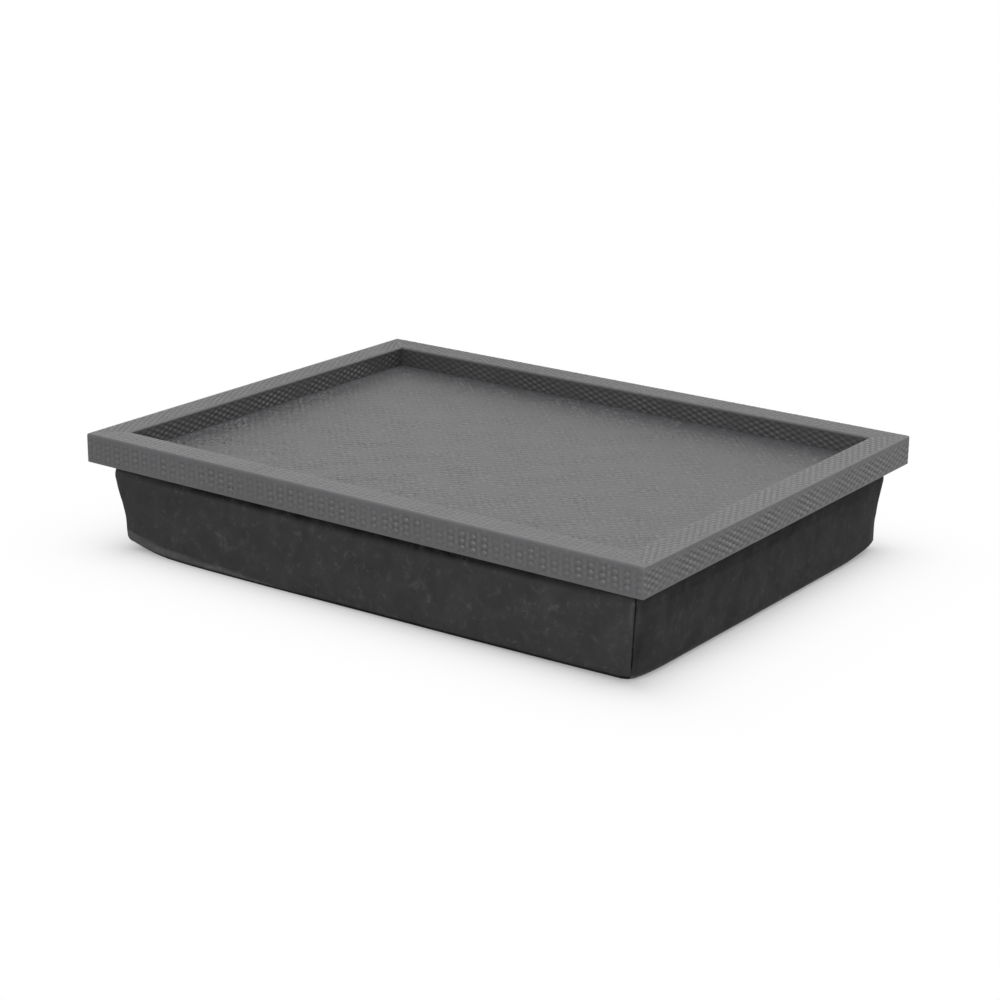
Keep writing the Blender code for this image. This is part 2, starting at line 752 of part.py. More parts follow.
def build_slider(cushion):
    """The slider at the zip's closed end, astride the coils, with its pull laid flat.

    The two blades are joined by a post in the lane between the coils. The bridge on the
    upper blade is an arch along the zip, and the pull's bar lies under it.
    """
    rest = ZIP_LENGTH / 2 - SLIDER_LENGTH / 2
    origin = empty("zip_slider_origin", (rest, 0, 0))
    origin.parent = cushion
    half_x, half_y = SLIDER_LENGTH / 2, SLIDER_WIDTH / 2
    overlap = CLEARANCE / 2
    bridge_end = BRIDGE_SPAN / 2 + BRIDGE_LEG
    bridge_top = BRIDGE_BOTTOM + BRIDGE_BAR
    upper = span_box(
        "zip_slider", (-half_x, -half_y, UPPER_BLADE_BOTTOM), (half_x, half_y, UPPER_BLADE_TOP)
    )
    slider = placed("zip_slider", upper, nickel(), origin)
    joined = [
        ("lower_blade", (-half_x, -half_y, LOWER_BLADE_BOTTOM), (half_x, half_y, LOWER_BLADE_TOP)),
        (
            "post",
            (half_x - POST_LENGTH, -POST_WIDTH / 2, LOWER_BLADE_TOP - overlap),
            (half_x - overlap, POST_WIDTH / 2, UPPER_BLADE_BOTTOM + overlap),
        ),
        (
            "front_flange",
            (overlap - half_x, overlap - half_y, COIL_BOTTOM),
            (half_x - overlap, FLANGE_WIDTH - half_y, UPPER_BLADE_BOTTOM + overlap),
        ),
        (
            "back_flange",
            (overlap - half_x, half_y - FLANGE_WIDTH, COIL_BOTTOM),
            (half_x - overlap, half_y - overlap, UPPER_BLADE_BOTTOM + overlap),
        ),
        (
            "bridge_foot_left",
            (-bridge_end, -BRIDGE_WIDTH / 2, UPPER_BLADE_TOP - overlap),
            (-BRIDGE_SPAN / 2, BRIDGE_WIDTH / 2, BRIDGE_BOTTOM + overlap),
        ),
        (
            "bridge_foot_right",
            (BRIDGE_SPAN / 2, -BRIDGE_WIDTH / 2, UPPER_BLADE_TOP - overlap),
            (bridge_end, BRIDGE_WIDTH / 2, BRIDGE_BOTTOM + overlap),
        ),
        (
            "bridge_bar",
            (-bridge_end - overlap, -BRIDGE_WIDTH / 2 - overlap, BRIDGE_BOTTOM),
            (bridge_end + overlap, BRIDGE_WIDTH / 2 + overlap, bridge_top),
        ),
    ]
    for name, low, high in joined:
        combine(slider, helper(name, span_box(name, low, high), origin), "UNION")

    outline = filleted(
        [
            (-PULL_LENGTH, -PULL_WIDTH / 2),
            (0, -PULL_WIDTH / 2),
            (0, PULL_WIDTH / 2),
            (-PULL_LENGTH, PULL_WIDTH / 2),
        ],
        [PULL_BAR] * 4,
    )
    mesh = prism("zip_pull", outline, PULL_BOTTOM, PULL_BOTTOM + PULL_THICKNESS)
    pull = placed("zip_pull", mesh, nickel(), origin)
    pull.location.x = PULL_BAR / 2
    window_end = -(bridge_end + PULL_BAR + CLEARANCE)
    window = span_box(
        "pull_window",
        (window_end, -PULL_WIDTH / 2 + PULL_BAR, PULL_BOTTOM - PULL_THICKNESS),
        (-PULL_BAR, PULL_WIDTH / 2 - PULL_BAR, PULL_BOTTOM + 2 * PULL_THICKNESS),
    )
    combine(pull, helper("pull_window", window, pull))


def main():
    """Build the cushion on the floor and the tray that lifts off it along Z."""
    remove_everything()
    cushion = empty("cushion_origin", (0, 0, 0))
    tray = empty("tray_origin", (0, 0, 0))
    cores = build_rails(tray)
    build_keys(tray, cores)
    build_panel(tray, cores)
    build_strips(tray, cushion)
    build_cover(cushion)
    build_liner(cushion)
    build_zip(cushion)
    build_slider(cushion)


if __name__ == "__main__":
    main()
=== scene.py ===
"""The looks of a bed tray: a leather-covered tray that lies on a bean cushion.

Everything is in metres with +Z up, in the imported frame's own axes: +X runs along the
tray's long side and -Y faces whoever uses it. Pattern sizes are real ones in millimetres.
"""

import logging  # noqa: E402
import math  # noqa: E402
from collections.abc import Sequence  # noqa: E402
from dataclasses import dataclass, field, replace  # noqa: E402
from enum import Enum  # noqa: E402

import bmesh  # noqa: E402
import bpy  # noqa: E402
import numpy as np  # noqa: E402
from mathutils import Matrix, Vector  # noqa: E402


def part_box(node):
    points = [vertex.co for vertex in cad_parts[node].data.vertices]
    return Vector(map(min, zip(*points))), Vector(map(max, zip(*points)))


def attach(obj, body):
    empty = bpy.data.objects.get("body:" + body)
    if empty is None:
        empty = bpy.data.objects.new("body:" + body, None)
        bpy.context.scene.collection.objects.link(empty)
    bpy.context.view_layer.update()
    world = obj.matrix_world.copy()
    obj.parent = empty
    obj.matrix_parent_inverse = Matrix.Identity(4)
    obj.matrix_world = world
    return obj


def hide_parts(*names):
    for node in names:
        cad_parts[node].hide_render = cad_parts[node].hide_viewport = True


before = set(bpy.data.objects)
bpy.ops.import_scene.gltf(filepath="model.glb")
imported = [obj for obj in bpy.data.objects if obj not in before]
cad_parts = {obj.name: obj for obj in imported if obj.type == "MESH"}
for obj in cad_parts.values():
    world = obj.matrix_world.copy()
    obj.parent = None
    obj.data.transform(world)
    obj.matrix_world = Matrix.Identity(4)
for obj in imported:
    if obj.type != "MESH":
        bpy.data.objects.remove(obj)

LOG = logging.getLogger("bed_tray")
MM = 0.001
CUT_MAP = "cut"  # UV map in millimetres on the flat cloth: along the piece, then across it
PAINTED_LIGHT = "painted_light"  # how much lighter a point of the suede is painted, below 0 where painted shade darkens it
PRESS = "press"  # how deeply the plait is pressed at a point of the leather, about 1
PAINTED_LIGHT_AND_WEAR = "painted_light_and_wear"  # how light the leather is painted at a point: lower where painted shade darkens the rails' inner faces, higher at worn edges and where painted light brightens the panel's edge
BEAN_MIDDLE = (0, 0, 36 * MM)  # a point deep inside the cushion
STITCH = (2.4 * MM, 0.8 * MM, 0.3 * MM)  # a stitch's length, the space after it, its thread

Array = np.ndarray
Object = bpy.types.Object
Socket = bpy.types.NodeSocket
Tree = bpy.types.NodeTree


def linear(code: str) -> tuple[float, ...]:
    """Turn an sRGB hex colour into linear light.

    Args:
        code: a colour such as "#8A8A8A".

    Returns:
        Red, green, blue and an alpha of 1.
    """
    channels = np.array([int(code[i : i + 2], 16) / 255 for i in (1, 3, 5)])
    low, high = channels / 12.92, ((channels + 0.055) / 1.055) ** 2.4
    return (*np.where(channels <= 0.04045, low, high).tolist(), 1.0)


def add(
    tree: Tree,
    kind: str,
    *values: object,
    out: int | str = 0,
    stops: Sequence[tuple[float, str]] = (),
    **settings: object,
) -> Socket | None:
    """Add one node with its settings, values and links.

    Args:
        tree: the node tree that gets it.
        kind: the node's type, without its leading ShaderNode.
        values: for its inputs in order; a socket is linked, and None leaves the default.
        out: the output to hand back.
        stops: places and hex colours for a colour ramp.
        settings: the node's own properties, and with a capital first letter its inputs
            by name, where an underscore stands for a space.

    Returns:
        The output that was asked for.
    """
    node = tree.nodes.new("ShaderNode" + kind)
    inputs: list[tuple[int | str, object]] = [(i, v) for i, v in enumerate(values) if v is not None]
    for name, value in settings.items():
        if name[0].isupper():
            inputs.append((name.replace("_", " "), value))
        else:
            setattr(node, name, value)
    # A setting such as a noise's dimensions decides which inputs there are, so it came first
    for key, value in inputs:
        if isinstance(value, bpy.types.NodeSocket):
            tree.links.new(value, node.inputs[key])
        else:
            node.inputs[key].default_value = value
    for i, (place, code) in enumerate(stops):
        ramp = node.color_ramp.elements
        stop = ramp[i] if i < 2 else ramp.new(place)
        stop.position, stop.color = place, linear(code)
    return node.outputs[out] if node.outputs else None


def smooth(share: Array | float) -> Array:
    """An S-curve from 0 to 1 with level ends: 3 s squared less 2 s cubed."""
    share = np.clip(share, 0, 1)
    return share * share * (3 - 2 * share)


def bell(place: Array, middle: float, width: float) -> Array:
    """A bell curve of height 1 round its middle: e to the minus square of the distance."""
    return np.exp(-(((place - middle) / width) ** 2))


def wander(along: Array, across: Array) -> Array:
    """How deeply the plait is pressed from place to place, round 1: a sum of long sines.

    Args:
        along: places along the cloth, in millimetres.
        across: places across it, in millimetres.

    Returns:
        A factor from about 0.4 to 1.6.
    """
    sway = np.sin(along / 9.7 + 1.9 * np.sin(across / 13.1))
    sway = sway + np.sin(across / 11.3 - along / 31.0 + 2.1 * np.sin(along / 23.9))
    return 1 + 0.3 * sway


@dataclass(frozen=True)
class Finish:
    """A finish, which becomes one material however many pieces wear it."""

    name: str

    def paint(self, tree: Tree) -> Socket:
        """Build the nodes and hand back the shader."""
        raise NotImplementedError

    def material(self) -> bpy.types.Material:
        """The Blender material of this finish, made on its first use."""
        made = bpy.data.materials.get(self.name)
        if made is None:
            made = bpy.data.materials.new(self.name)
            made.use_nodes = True
            made.node_tree.nodes.clear()
            add(made.node_tree, "OutputMaterial", self.paint(made.node_tree))
        return made

    def tone(self, tree: Tree, value: Socket, low: float, high: float, *codes: str) -> Socket:
        """A colour that runs from one hex code to the other as a value goes from low to high."""
        share = add(tree, "MapRange", value, low, high, 0.0, 1.0)
        return add(tree, "ValToRGB", share, stops=list(enumerate(codes)))

    def coat(
        self, tree: Tree, colour: Socket, height: Socket, relief: float, firm: float, **look: object
    ) -> Socket:
        """The shader: a colour, a bump from a height, and further inputs by name.

        Args:
            tree: the node tree.
            colour: the colour.
            height: the bump's height, which counts in units of the relief.
            relief: the relief in millimetres.
            firm: the bump's strength, up to 1.
            look: the shader's other inputs.

        Returns:
            The shader's output.
        """
        bump = add(tree, "Bump", Height=height, Distance=relief * MM, Strength=firm)
        return add(tree, "BsdfPrincipled", Base_Color=colour, Normal=bump, **look)


@dataclass(frozen=True)
class EmbossedLeather(Finish):
    """Grey polyurethane leather cloth, pressed with a plait of small beads.

    It gives the eye columns of round beads, each column half a bead further on than the
    last, with a painted highlight on their tops and painted shade in the pits between them,
    no two of quite the same tone, a fine pebble grain and a soft, low shine. Lengths are in
    millimetres: raised is the mesh's relief, relief the bump's, and wobble how far the beads
    stray from their places.
    Striped, uneven and stray are shares: of every second column left plain, of change in
    tone and of change in depth.
    """

    face: str = "#4A4A4C"
    pit_shade: str = "#38383A"
    cap: str = "#545456"
    column: float = 5.22
    pitch: float = 5.22
    level: float = 0.5
    raised: float = 1.1
    relief: float = 0.3
    striped: float = 0.0
    uneven: float = 0.05
    stray: float = 0.3
    wobble: float = 0.0
    gloss: float = 0.8
    roughness: float = 0.4

    def pillow(self, along: Array, across: Array) -> Array:
        """Height of the plait from 0 in its pits to 1 on its beads.

        A cosine with a period of two columns, called the sway, is multiplied by one with a
        period of a pitch, the beat, which sets each column half a bead further on than the
        last. Where the cloth is striped, the value is half the sum of the columns' own
        cosine and the beat times half of one plus the sway, which leaves every second
        column plain. The value is then brought to between 0 and 1.

        Args:
            along: places along the cloth, in millimetres.
            across: places across it, in millimetres.

        Returns:
            The heights, in the shape of the places.
        """
        sway = np.cos(math.pi * along / self.column)
        beat = np.cos(2 * math.pi * across / self.pitch)
        stripes = (2 * sway**2 - 1 + (0.5 + 0.5 * sway) * beat) / 2
        both = (1 - self.striped) * sway * beat + self.striped * stripes
        return (1 + both) / 2

    def paint(self, tree: Tree) -> Socket:
        """The plait again in nodes, for its tone and for relief finer than the mesh."""
        flat = add(tree, "UVMap", uv_map=CUT_MAP)
        if self.wobble:
            # Beads of the coarser grain stray from their places, within patches of 7 mm
            drift = add(tree, "TexNoise", flat, Scale=1 / 7, Detail=1.0, out="Color")
            drift = add(tree, "VectorMath", drift, (0.5, 0.5, 0.5), operation="SUBTRACT")
            drawn = (4 * self.wobble,) * 3
            flat = add(tree, "VectorMath", drift, drawn, flat, operation="MULTIPLY_ADD")
        cut = add(tree, "SeparateXYZ", flat).node.outputs
        columns = add(tree, "Math", cut[0], self.column, operation="DIVIDE")
        rows = add(tree, "Math", cut[1], self.pitch, operation="DIVIDE")
        sway, beat = (
            add(tree, "Math", add(tree, "Math", x, turn, operation="MULTIPLY"), operation="COSINE")
            for x, turn in ((columns, math.pi), (rows, 2 * math.pi))
        )
        both = add(tree, "Math", sway, beat, operation="MULTIPLY")
        if self.striped:
            beaded = add(tree, "MapRange", sway, -1.0, 1.0, 0.0, 0.5)
            beaded = add(tree, "Math", beaded, beat, -0.5, operation="MULTIPLY_ADD")
            stripes = add(tree, "Math", sway, sway, beaded, operation="MULTIPLY_ADD")
            both = add(tree, "Mix", self.striped, None, both, stripes)
        pillow = add(tree, "MapRange", both, -1.0, 1.0, 0.0, 1.0)
        cells = [add(tree, "Math", x, operation="ROUND") for x in (columns, rows)]
        cell = add(tree, "CombineXYZ", *cells)
        own = add(tree, "TexWhiteNoise", cell, noise_dimensions="2D", out="Value")
        kept = add(tree, "MapRange", own, 0.0, 1.0, 1 - self.stray, 1 + self.stray)
        own = add(tree, "MapRange", own, 0.0, 1.0, 1 - self.uneven, 1 + self.uneven)
        press = add(tree, "Attribute", attribute_name=PRESS, out="Fac")
        press = add(tree, "Math", press, kept, operation="MULTIPLY")
        pillow = add(tree, "Math", pillow, self.level, operation="SUBTRACT")
        pillow = add(tree, "Math", pillow, press, self.level, operation="MULTIPLY_ADD")

        place = add(tree, "TexCoord", out="Object")
        # Pebble grain of 0.5 mm, flecks of 2.4 mm, and slow changes of tone over some 60 mm
        grain = add(tree, "TexNoise", place, Scale=1 / (0.5 * MM), Detail=3.0)
        fleck = add(tree, "TexNoise", place, Scale=1 / (2.4 * MM), Detail=2.0)
        cloud = add(tree, "TexNoise", place, Scale=1 / (60 * MM), Detail=2.0)
        # Painted shade in the pits and a painted highlight on the bead tops, from the plait's
        # height
        stops = [(0, self.pit_shade), (1, self.cap), (self.level, self.face)]
        tone = add(tree, "ValToRGB", pillow, stops=stops)
        tint = add(tree, "MapRange", cloud, 0.3, 0.7, 0.95, 1.05)
        tint = add(tree, "Math", tint, own, operation="MULTIPLY")
        fleck = add(tree, "MapRange", fleck, 0.3, 0.7, 1 - self.uneven / 2, 1 + self.uneven / 2)
        tint = add(tree, "Math", tint, fleck, operation="MULTIPLY")
        # Painted shade on the rails' inner faces and painted light along the panel's edge, with the
        # wear of the upright edges
        painted_light_and_wear = add(tree, "Attribute", attribute_name=PAINTED_LIGHT_AND_WEAR, out="Fac")
        tint = add(tree, "Math", tint, painted_light_and_wear, operation="MULTIPLY")
        colour = add(tree, "VectorMath", tone, tint, operation="MULTIPLY")
        height = add(tree, "Math", grain, 0.15, pillow, operation="MULTIPLY_ADD")
        look = {"Roughness": self.roughness, "IOR": 1.5, "Specular_IOR_Level": self.gloss}
        return self.coat(tree, colour, height, self.relief, 1.0, **look)


@dataclass(frozen=True)
class SuedeCloth(Finish):
    """Black polyester suede cloth.

    It gives the eye a deep matt black whose nap lies lighter and darker in patches, with
    thin brushed marks, and carries painted light and painted shade from each point's value.
    Lengths are in millimetres.
    """

    deep: str = "#2A2A2A"
    nap: str = "#444444"
    brushed_and_lit: str = "#6A6A6A"
    patch: float = 22.0
    mark: float = 9.0
    fibre: float = 0.7

    def paint(self, tree: Tree) -> Socket:
        """Patches, marks and fibres as noises of their own scales."""
        place = add(tree, "TexCoord", out="Object")
        patch = add(
            tree, "TexNoise", place, Scale=1 / (self.patch * MM), Detail=2.0, Distortion=0.6
        )
        swirl = add(
            tree, "TexNoise", place, Scale=1 / (self.mark * MM), Detail=1.0, Distortion=1.2
        )
        # A mark is a thin line where the swirl passes its middle, broken up by other noise
        away = add(tree, "Math", swirl, 0.5, operation="SUBTRACT")
        away = add(tree, "Math", away, operation="ABSOLUTE")
        line = add(tree, "MapRange", away, 0.0, 0.11, 1.0, 0.0)
        spots = add(
            tree, "TexNoise", place, W=2.0, Scale=1 / (7 * MM), Detail=2.0, noise_dimensions="4D"
        )
        spots = add(tree, "MapRange", spots, 0.5, 0.68, 0.0, 1.0)
        marks = add(tree, "Math", line, spots, operation="MULTIPLY")
        # Real fibres are finer than 0.1 mm; these are as coarse as they need to show
        fibre = add(tree, "TexNoise", place, Scale=1 / (self.fibre * MM), Detail=2.0)
        painted_light = add(tree, "Attribute", attribute_name=PAINTED_LIGHT, out="Fac")
        tone = add(tree, "MapRange", patch, 0.3, 0.75, 0.38, 0.53)
        tone = add(tree, "Math", marks, 0.2, tone, operation="MULTIPLY_ADD")
        speckle = add(tree, "Math", fibre, 0.5, operation="SUBTRACT")
        tone = add(tree, "Math", speckle, 0.3, tone, operation="MULTIPLY_ADD")
        # Painted light and painted shade from each point's value lift or darken the tone
        tone = add(tree, "Math", painted_light, 0.45, tone, operation="MULTIPLY_ADD")
        # The near-black end is painted shade for the seams and the foot; the pale end also takes
        # painted light
        stops = [(0, "#0C0C0C"), (1, self.brushed_and_lit), (0.14, self.deep), (0.5, self.nap)]
        colour = add(tree, "ValToRGB", tone, stops=stops)
        height = add(tree, "Math", marks, 1.0, fibre, operation="MULTIPLY_ADD")
        look = {"Roughness": 0.95, "IOR": 1.45, "Specular_IOR_Level": 0.1}
        sheen = {"Sheen_Weight": 0.05, "Sheen_Roughness": 0.4}
        return self.coat(tree, colour, height, 0.15, 0.6, **look, **sheen)


@dataclass(frozen=True)
class WovenCloth(Finish):
    """A woven cloth, such as drill, calico or zip tape.

    It gives the eye fine crossing threads, or slanting ribs where the twill is 1, with
    small changes of tone from thread to thread. Lengths are in millimetres. Real threads
    are about 0.4 mm apart, and are drawn as coarse as they need to show.
    """

    light: str = "#3A3B3D"
    dark: str = "#1E1F21"
    thread: float = 1.1
    twill: float = 0.0
    roughness: float = 0.9
    relief: float = 0.12

    def paint(self, tree: Tree) -> Socket:
        """Two sets of threads as sine waves along X and Y, and slubs as noise."""
        place = add(tree, "TexCoord", out="Object")
        parts = add(tree, "SeparateXYZ", place).node.outputs
        turn = 2 * math.pi / (self.thread * MM)
        warp = add(tree, "Math", parts[0], turn, operation="MULTIPLY")
        weft = add(tree, "Math", parts[1], turn, operation="MULTIPLY")
        rib = add(tree, "Math", warp, weft, operation="ADD")
        waves = [
            add(tree, "Math", angle, operation="SINE")
            for angle in ((rib, rib) if self.twill else (warp, weft))
        ]
        cross = add(tree, "Math", *waves, operation="MULTIPLY")
        if self.twill:
            cross = add(tree, "Math", waves[0], 0.7, operation="MULTIPLY")
        slub = add(tree, "TexNoise", place, Scale=1 / (2.5 * MM), Detail=3.0)
        height = add(tree, "Math", slub, 1.2, cross, operation="MULTIPLY_ADD")
        colour = self.tone(tree, height, -0.5, 1.6, self.dark, self.light)
        look = {"Roughness": self.roughness, "IOR": 1.45, "Specular_IOR_Level": 0.3}
        return self.coat(tree, colour, cross, self.relief, 0.8, **look, Sheen_Weight=0.1)


@dataclass(frozen=True)
class Pile(Finish):
    """Felt, or the looped side of hook-and-loop tape.

    It gives the eye a matt, slightly cloudy nap of tangled fibres, without a weave.
    The tangle's size is in millimetres.
    """

    light: str = "#343435"
    dark: str = "#1B1B1C"
    tangle: float = 1.4
    roughness: float = 0.95

    def paint(self, tree: Tree) -> Socket:
        """Tangled fibres as a distorted noise over a cloudy one."""
        place = add(tree, "TexCoord", out="Object")
        tangle = add(
            tree, "TexNoise", place, Scale=1 / (self.tangle * MM), Detail=4.0, Distortion=1.5
        )
        cloud = add(tree, "TexNoise", place, Scale=1 / (30 * MM), Detail=2.0)
        both = add(tree, "Math", cloud, 0.5, tangle, operation="MULTIPLY_ADD")
        colour = self.tone(tree, both, 0.45, 1.05, self.dark, self.light)
        look = {"Roughness": self.roughness, "IOR": 1.45, "Specular_IOR_Level": 0.2}
        return self.coat(tree, colour, tangle, 0.25, 0.8, **look, Sheen_Weight=0.2)


@dataclass(frozen=True)
class Timber(Finish):
    """Planed poplar or birch plywood.

    It gives the eye long pale growth lines that waver along X, or along Y at a turn of 90
    degrees, with fine pores between them. The line spacing is in millimetres.
    """

    pale: str = "#D9C39C"
    late: str = "#B8976A"
    spacing: float = 3.5
    roughness: float = 0.6
    turn: float = 0.0

    def paint(self, tree: Tree) -> Socket:
        """Growth lines as a wave bent by noise, with stretched pores."""
        place = add(tree, "TexCoord", out="Object")
        turned = add(tree, "Mapping", place, Rotation=(0, 0, math.radians(self.turn)))
        long_way = add(tree, "Mapping", turned, Scale=(0.06, 1.0, 1.0))
        waver = add(
            tree,
            "TexWave",
            long_way,
            wave_type="BANDS",
            bands_direction="Y",
            Scale=1 / (6 * self.spacing * MM),
            Distortion=3.0,
            Detail=3.0,
        )
        pores = add(tree, "TexNoise", long_way, Scale=1 / (0.8 * MM), Detail=2.0)
        tone = add(tree, "Math", pores, 0.4, waver, operation="MULTIPLY_ADD")
        colour = self.tone(tree, tone, 0.1, 1.2, self.pale, self.late)
        return self.coat(tree, colour, pores, 0.08, 0.6, Roughness=self.roughness, IOR=1.5)


@dataclass(frozen=True)
class Moulded(Finish):
    """Moulded nylon or expanded polystyrene.

    It gives the eye one even colour with a faint pebble, glossy or dull by its
    roughness. The pebble's size is in millimetres.
    """

    colour: str = "#1A1A1B"
    shade: str = "#101011"
    pebble: float = 0.6
    roughness: float = 0.42

    def paint(self, tree: Tree) -> Socket:
        """A faint pebble as noise in tone and height."""
        place = add(tree, "TexCoord", out="Object")
        pebble = add(tree, "TexNoise", place, Scale=1 / (self.pebble * MM), Detail=2.0)
        colour = self.tone(tree, pebble, 0.3, 0.7, self.shade, self.colour)
        return self.coat(tree, colour, pebble, 0.05, 0.5, Roughness=self.roughness, IOR=1.53)


@dataclass(frozen=True)
class PlatedMetal(Finish):
    """Nickel- or zinc-plated metal, tumbled smooth.

    It gives the eye a grey mirror with fine scratches and slightly duller patches.
    """

    colour: str = "#C9C8C3"
    dull: str = "#A9A8A2"
    roughness: float = 0.28

    def paint(self, tree: Tree) -> Socket:
        """Scratches as stretched noise in the roughness, and dull patches in the colour."""
        place = add(tree, "TexCoord", out="Object")
        patch = add(tree, "TexNoise", place, Scale=1 / (2 * MM), Detail=3.0)
        stretched = add(tree, "Mapping", place, Scale=(0.15, 1.0, 1.0))
        scratch = add(tree, "TexNoise", stretched, Scale=1 / (0.2 * MM), Detail=2.0)
        colour = self.tone(tree, patch, 0.35, 0.7, self.dull, self.colour)
        ends = (self.roughness - 0.06, self.roughness + 0.1)
        gloss = add(tree, "MapRange", scratch, 0.3, 0.7, *ends)
        return add(tree, "BsdfPrincipled", Base_Color=colour, Metallic=1.0, Roughness=gloss)


# Each leather's colours are its face, the painted shade in its pits and the painted highlight on
# its bead tops
FRONT_LEATHER = EmbossedLeather(
    "embossed_leather_front_rail",
    "#505052",
    "#28282A",
    "#535355",
    raised=0.62,
    relief=0.35,
    striped=0.7,
    stray=0.5,
    wobble=0.5,
)
END_LEATHER = EmbossedLeather(
    "embossed_leather_end_rail", "#4C4C4E", "#2F2F31", "#646466", uneven=0.08
)
PANEL_LEATHER = EmbossedLeather(
    "embossed_leather_panel",
    "#454547",
    "#333335",
    "#575759",
    column=3.9,
    pitch=8.4,
    raised=0.25,
    relief=0.8,
    uneven=0.16,
    stray=1.0,
    wobble=2.5,
)
SUEDE = SuedeCloth("black_suede_cloth_napped")
DRILL = WovenCloth("black_cotton_drill_twill", twill=1.0)
CALICO = WovenCloth("unbleached_calico_plain_weave", light="#E0D8C4", dark="#B9AE95")
ZIP_TAPE = WovenCloth("polyester_zip_tape_ribbed", light="#2E2E2F", dark="#171718", thread=0.9)
FELT = Pile("black_needle_felt")
LOOP_PILE = Pile("nylon_loop_pile", light="#39393B", dark="#19191A", tangle=0.9)
HOOK_NYLON = Moulded("nylon_hook_tape_moulded", colour="#2A2A2B", shade="#161617", roughness=0.5)
COIL_NYLON = Moulded("nylon_zip_coil_moulded", colour="#252526", shade="#141415")
THREAD = Moulded("black_bonded_thread", colour="#303031", shade="#1A1A1B", roughness=0.6)
BEADS = Moulded("expanded_polystyrene_beads", "#F2F2EE", "#D8D8D2", pebble=2.5, roughness=0.8)
POPLAR = Timber("planed_poplar")
POPLAR_ACROSS = Timber("planed_poplar_crosswise", turn=90.0)
PLYWOOD = Timber("birch_plywood_sanded", pale="#E2CDA2", late="#C6A878", spacing=6.0)
NICKEL = PlatedMetal("nickel_plated_zinc_tumbled")
ZINC_STEEL = PlatedMetal("zinc_plated_steel_screw", colour="#C2C5C8", dull="#9EA1A4")


class Side(Enum):
    """A side of the tray: the front one turned by quarter turns about the vertical."""

    FRONT = 0
    RIGHT = 1
    BACK = 2
    LEFT = 3

    @property
    def label(self) -> str:
        """The side's word in node and piece names."""
        return self.name.lower()

    @property
    def is_long(self) -> bool:
        """Whether the side runs along X."""
        return self.value % 2 == 0

    def reach(self, half_length: float, half_depth: float) -> tuple[float, float]:
        """Half the side's run and its distance from the middle, on a rectangle's halves."""
        return (half_length, half_depth) if self.is_long else (half_depth, half_length)

    def at(self, along: Array, outward: Array, height: Array) -> Array:
        """Points from a side's own measures.

        Args:
            along: distance along the side from its middle.
            outward: distance from the tray's middle, square to the side.
            height: height above the floor.

        Returns:
            The points in the row frame, with the three axes last.
        """
        along, outward, height = np.broadcast_arrays(along, outward, height)
        c, s = math.cos(self.value * math.pi / 2), math.sin(self.value * math.pi / 2)
        return np.stack((c * along + s * outward, s * along - c * outward, height), axis=-1)


def grid_faces(index: Array, closed_rows: bool = False, closed_columns: bool = False) -> Array:
    """The four-cornered faces of a grid of point numbers.

    Args:
        index: point numbers in rows and columns.
        closed_rows: join the last row to the first.
        closed_columns: join the last column to the first.

    Returns:
        Faces as rows of four point numbers.
    """
    if closed_rows:
        index = np.concatenate((index, index[:1]))
    if closed_columns:
        index = np.concatenate((index, index[:, :1]), axis=1)
    corners = (index[:-1, :-1], index[1:, :-1], index[1:, 1:], index[:-1, 1:])
    return np.stack(corners, axis=-1).reshape(-1, 4)


def rim_of(index: Array) -> Array:
    """The point numbers round the edge of a grid, in order."""
    return np.concatenate((index[0, :-1], index[:-1, -1], index[-1, :0:-1], index[:0:-1, 0]))


def box_of(node: str) -> tuple[Array, Array]:
    """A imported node's lowest and highest corners, as arrays."""
    low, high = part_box(node)
    return np.array(low), np.array(high)


def make(
    name: str,
    points: Array,
    faces: Sequence[Array],
    finish: Finish,
    *,
    cut: Array | None = None,
    values: dict[str, Array] | None = None,
    sharp: float = 55.0,
) -> Object:
    """Put whole arrays into a new mesh object, with its faces turned outwards.

    Args:
        name: the piece's name.
        points: its points.
        faces: groups of faces, each an array with a row of point numbers for each face.
        finish: what it wears.
        cut: each point's place on the flat cloth, in millimetres.
        values: numbers for each point that the finish reads, by attribute name.
        sharp: edges that turn by more than this angle in degrees stay sharp.

    Returns:
        The object, at the origin.
    """
    points = np.asarray(points, np.float32).reshape(-1, 3)
    loops = np.concatenate([np.asarray(group).ravel() for group in faces]).astype(np.int32)
    counts = np.concatenate([np.full(len(group), np.shape(group)[1]) for group in faces])
    mesh = bpy.data.meshes.new(name)
    mesh.vertices.add(len(points))
    mesh.vertices.foreach_set("co", points.ravel())
    mesh.loops.add(len(loops))
    mesh.loops.foreach_set("vertex_index", loops)
    mesh.polygons.add(len(counts))
    starts = np.concatenate(([0], np.cumsum(counts)[:-1])).astype(np.int32)
    mesh.polygons.foreach_set("loop_start", starts)
    mesh.update(calc_edges=True)
    for key, value in (values or {}).items():
        attribute = mesh.attributes.new(key, "FLOAT", "POINT")
        attribute.data.foreach_set("value", np.asarray(value, np.float32).ravel())
    if cut is not None:
        layer = mesh.uv_layers.new(name=CUT_MAP)
        flat = np.asarray(cut, np.float32).reshape(-1, 2)[loops]
        layer.data.foreach_set("uv", flat.ravel())
    turned = bmesh.new()
    turned.from_mesh(mesh)
    bmesh.ops.recalc_face_normals(turned, faces=turned.faces)
    turned.to_mesh(mesh)
    turned.free()
    mesh.shade_smooth()
    mesh.set_sharp_from_angle(angle=math.radians(sharp))
    mesh.materials.append(finish.material())
    made = bpy.data.objects.new(name, mesh)
    bpy.context.scene.collection.objects.link(made)
    return made


def settle(piece: Object, body: str, slot: str, *nodes: str) -> Object:
    """Give a piece its body, hide the CAD nodes that it stands for, and report it.

    Args:
        piece: the finished piece.
        body: the body that it rides on.
        slot: the record's material slot; not used.
        nodes: the CAD nodes that it replaces.

    Returns:
        The piece.
    """
    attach(piece, body)
    if nodes:
        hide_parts(*nodes)
    LOG.info("%s: %d faces on %s", piece.name, len(piece.data.polygons), body)
    return piece


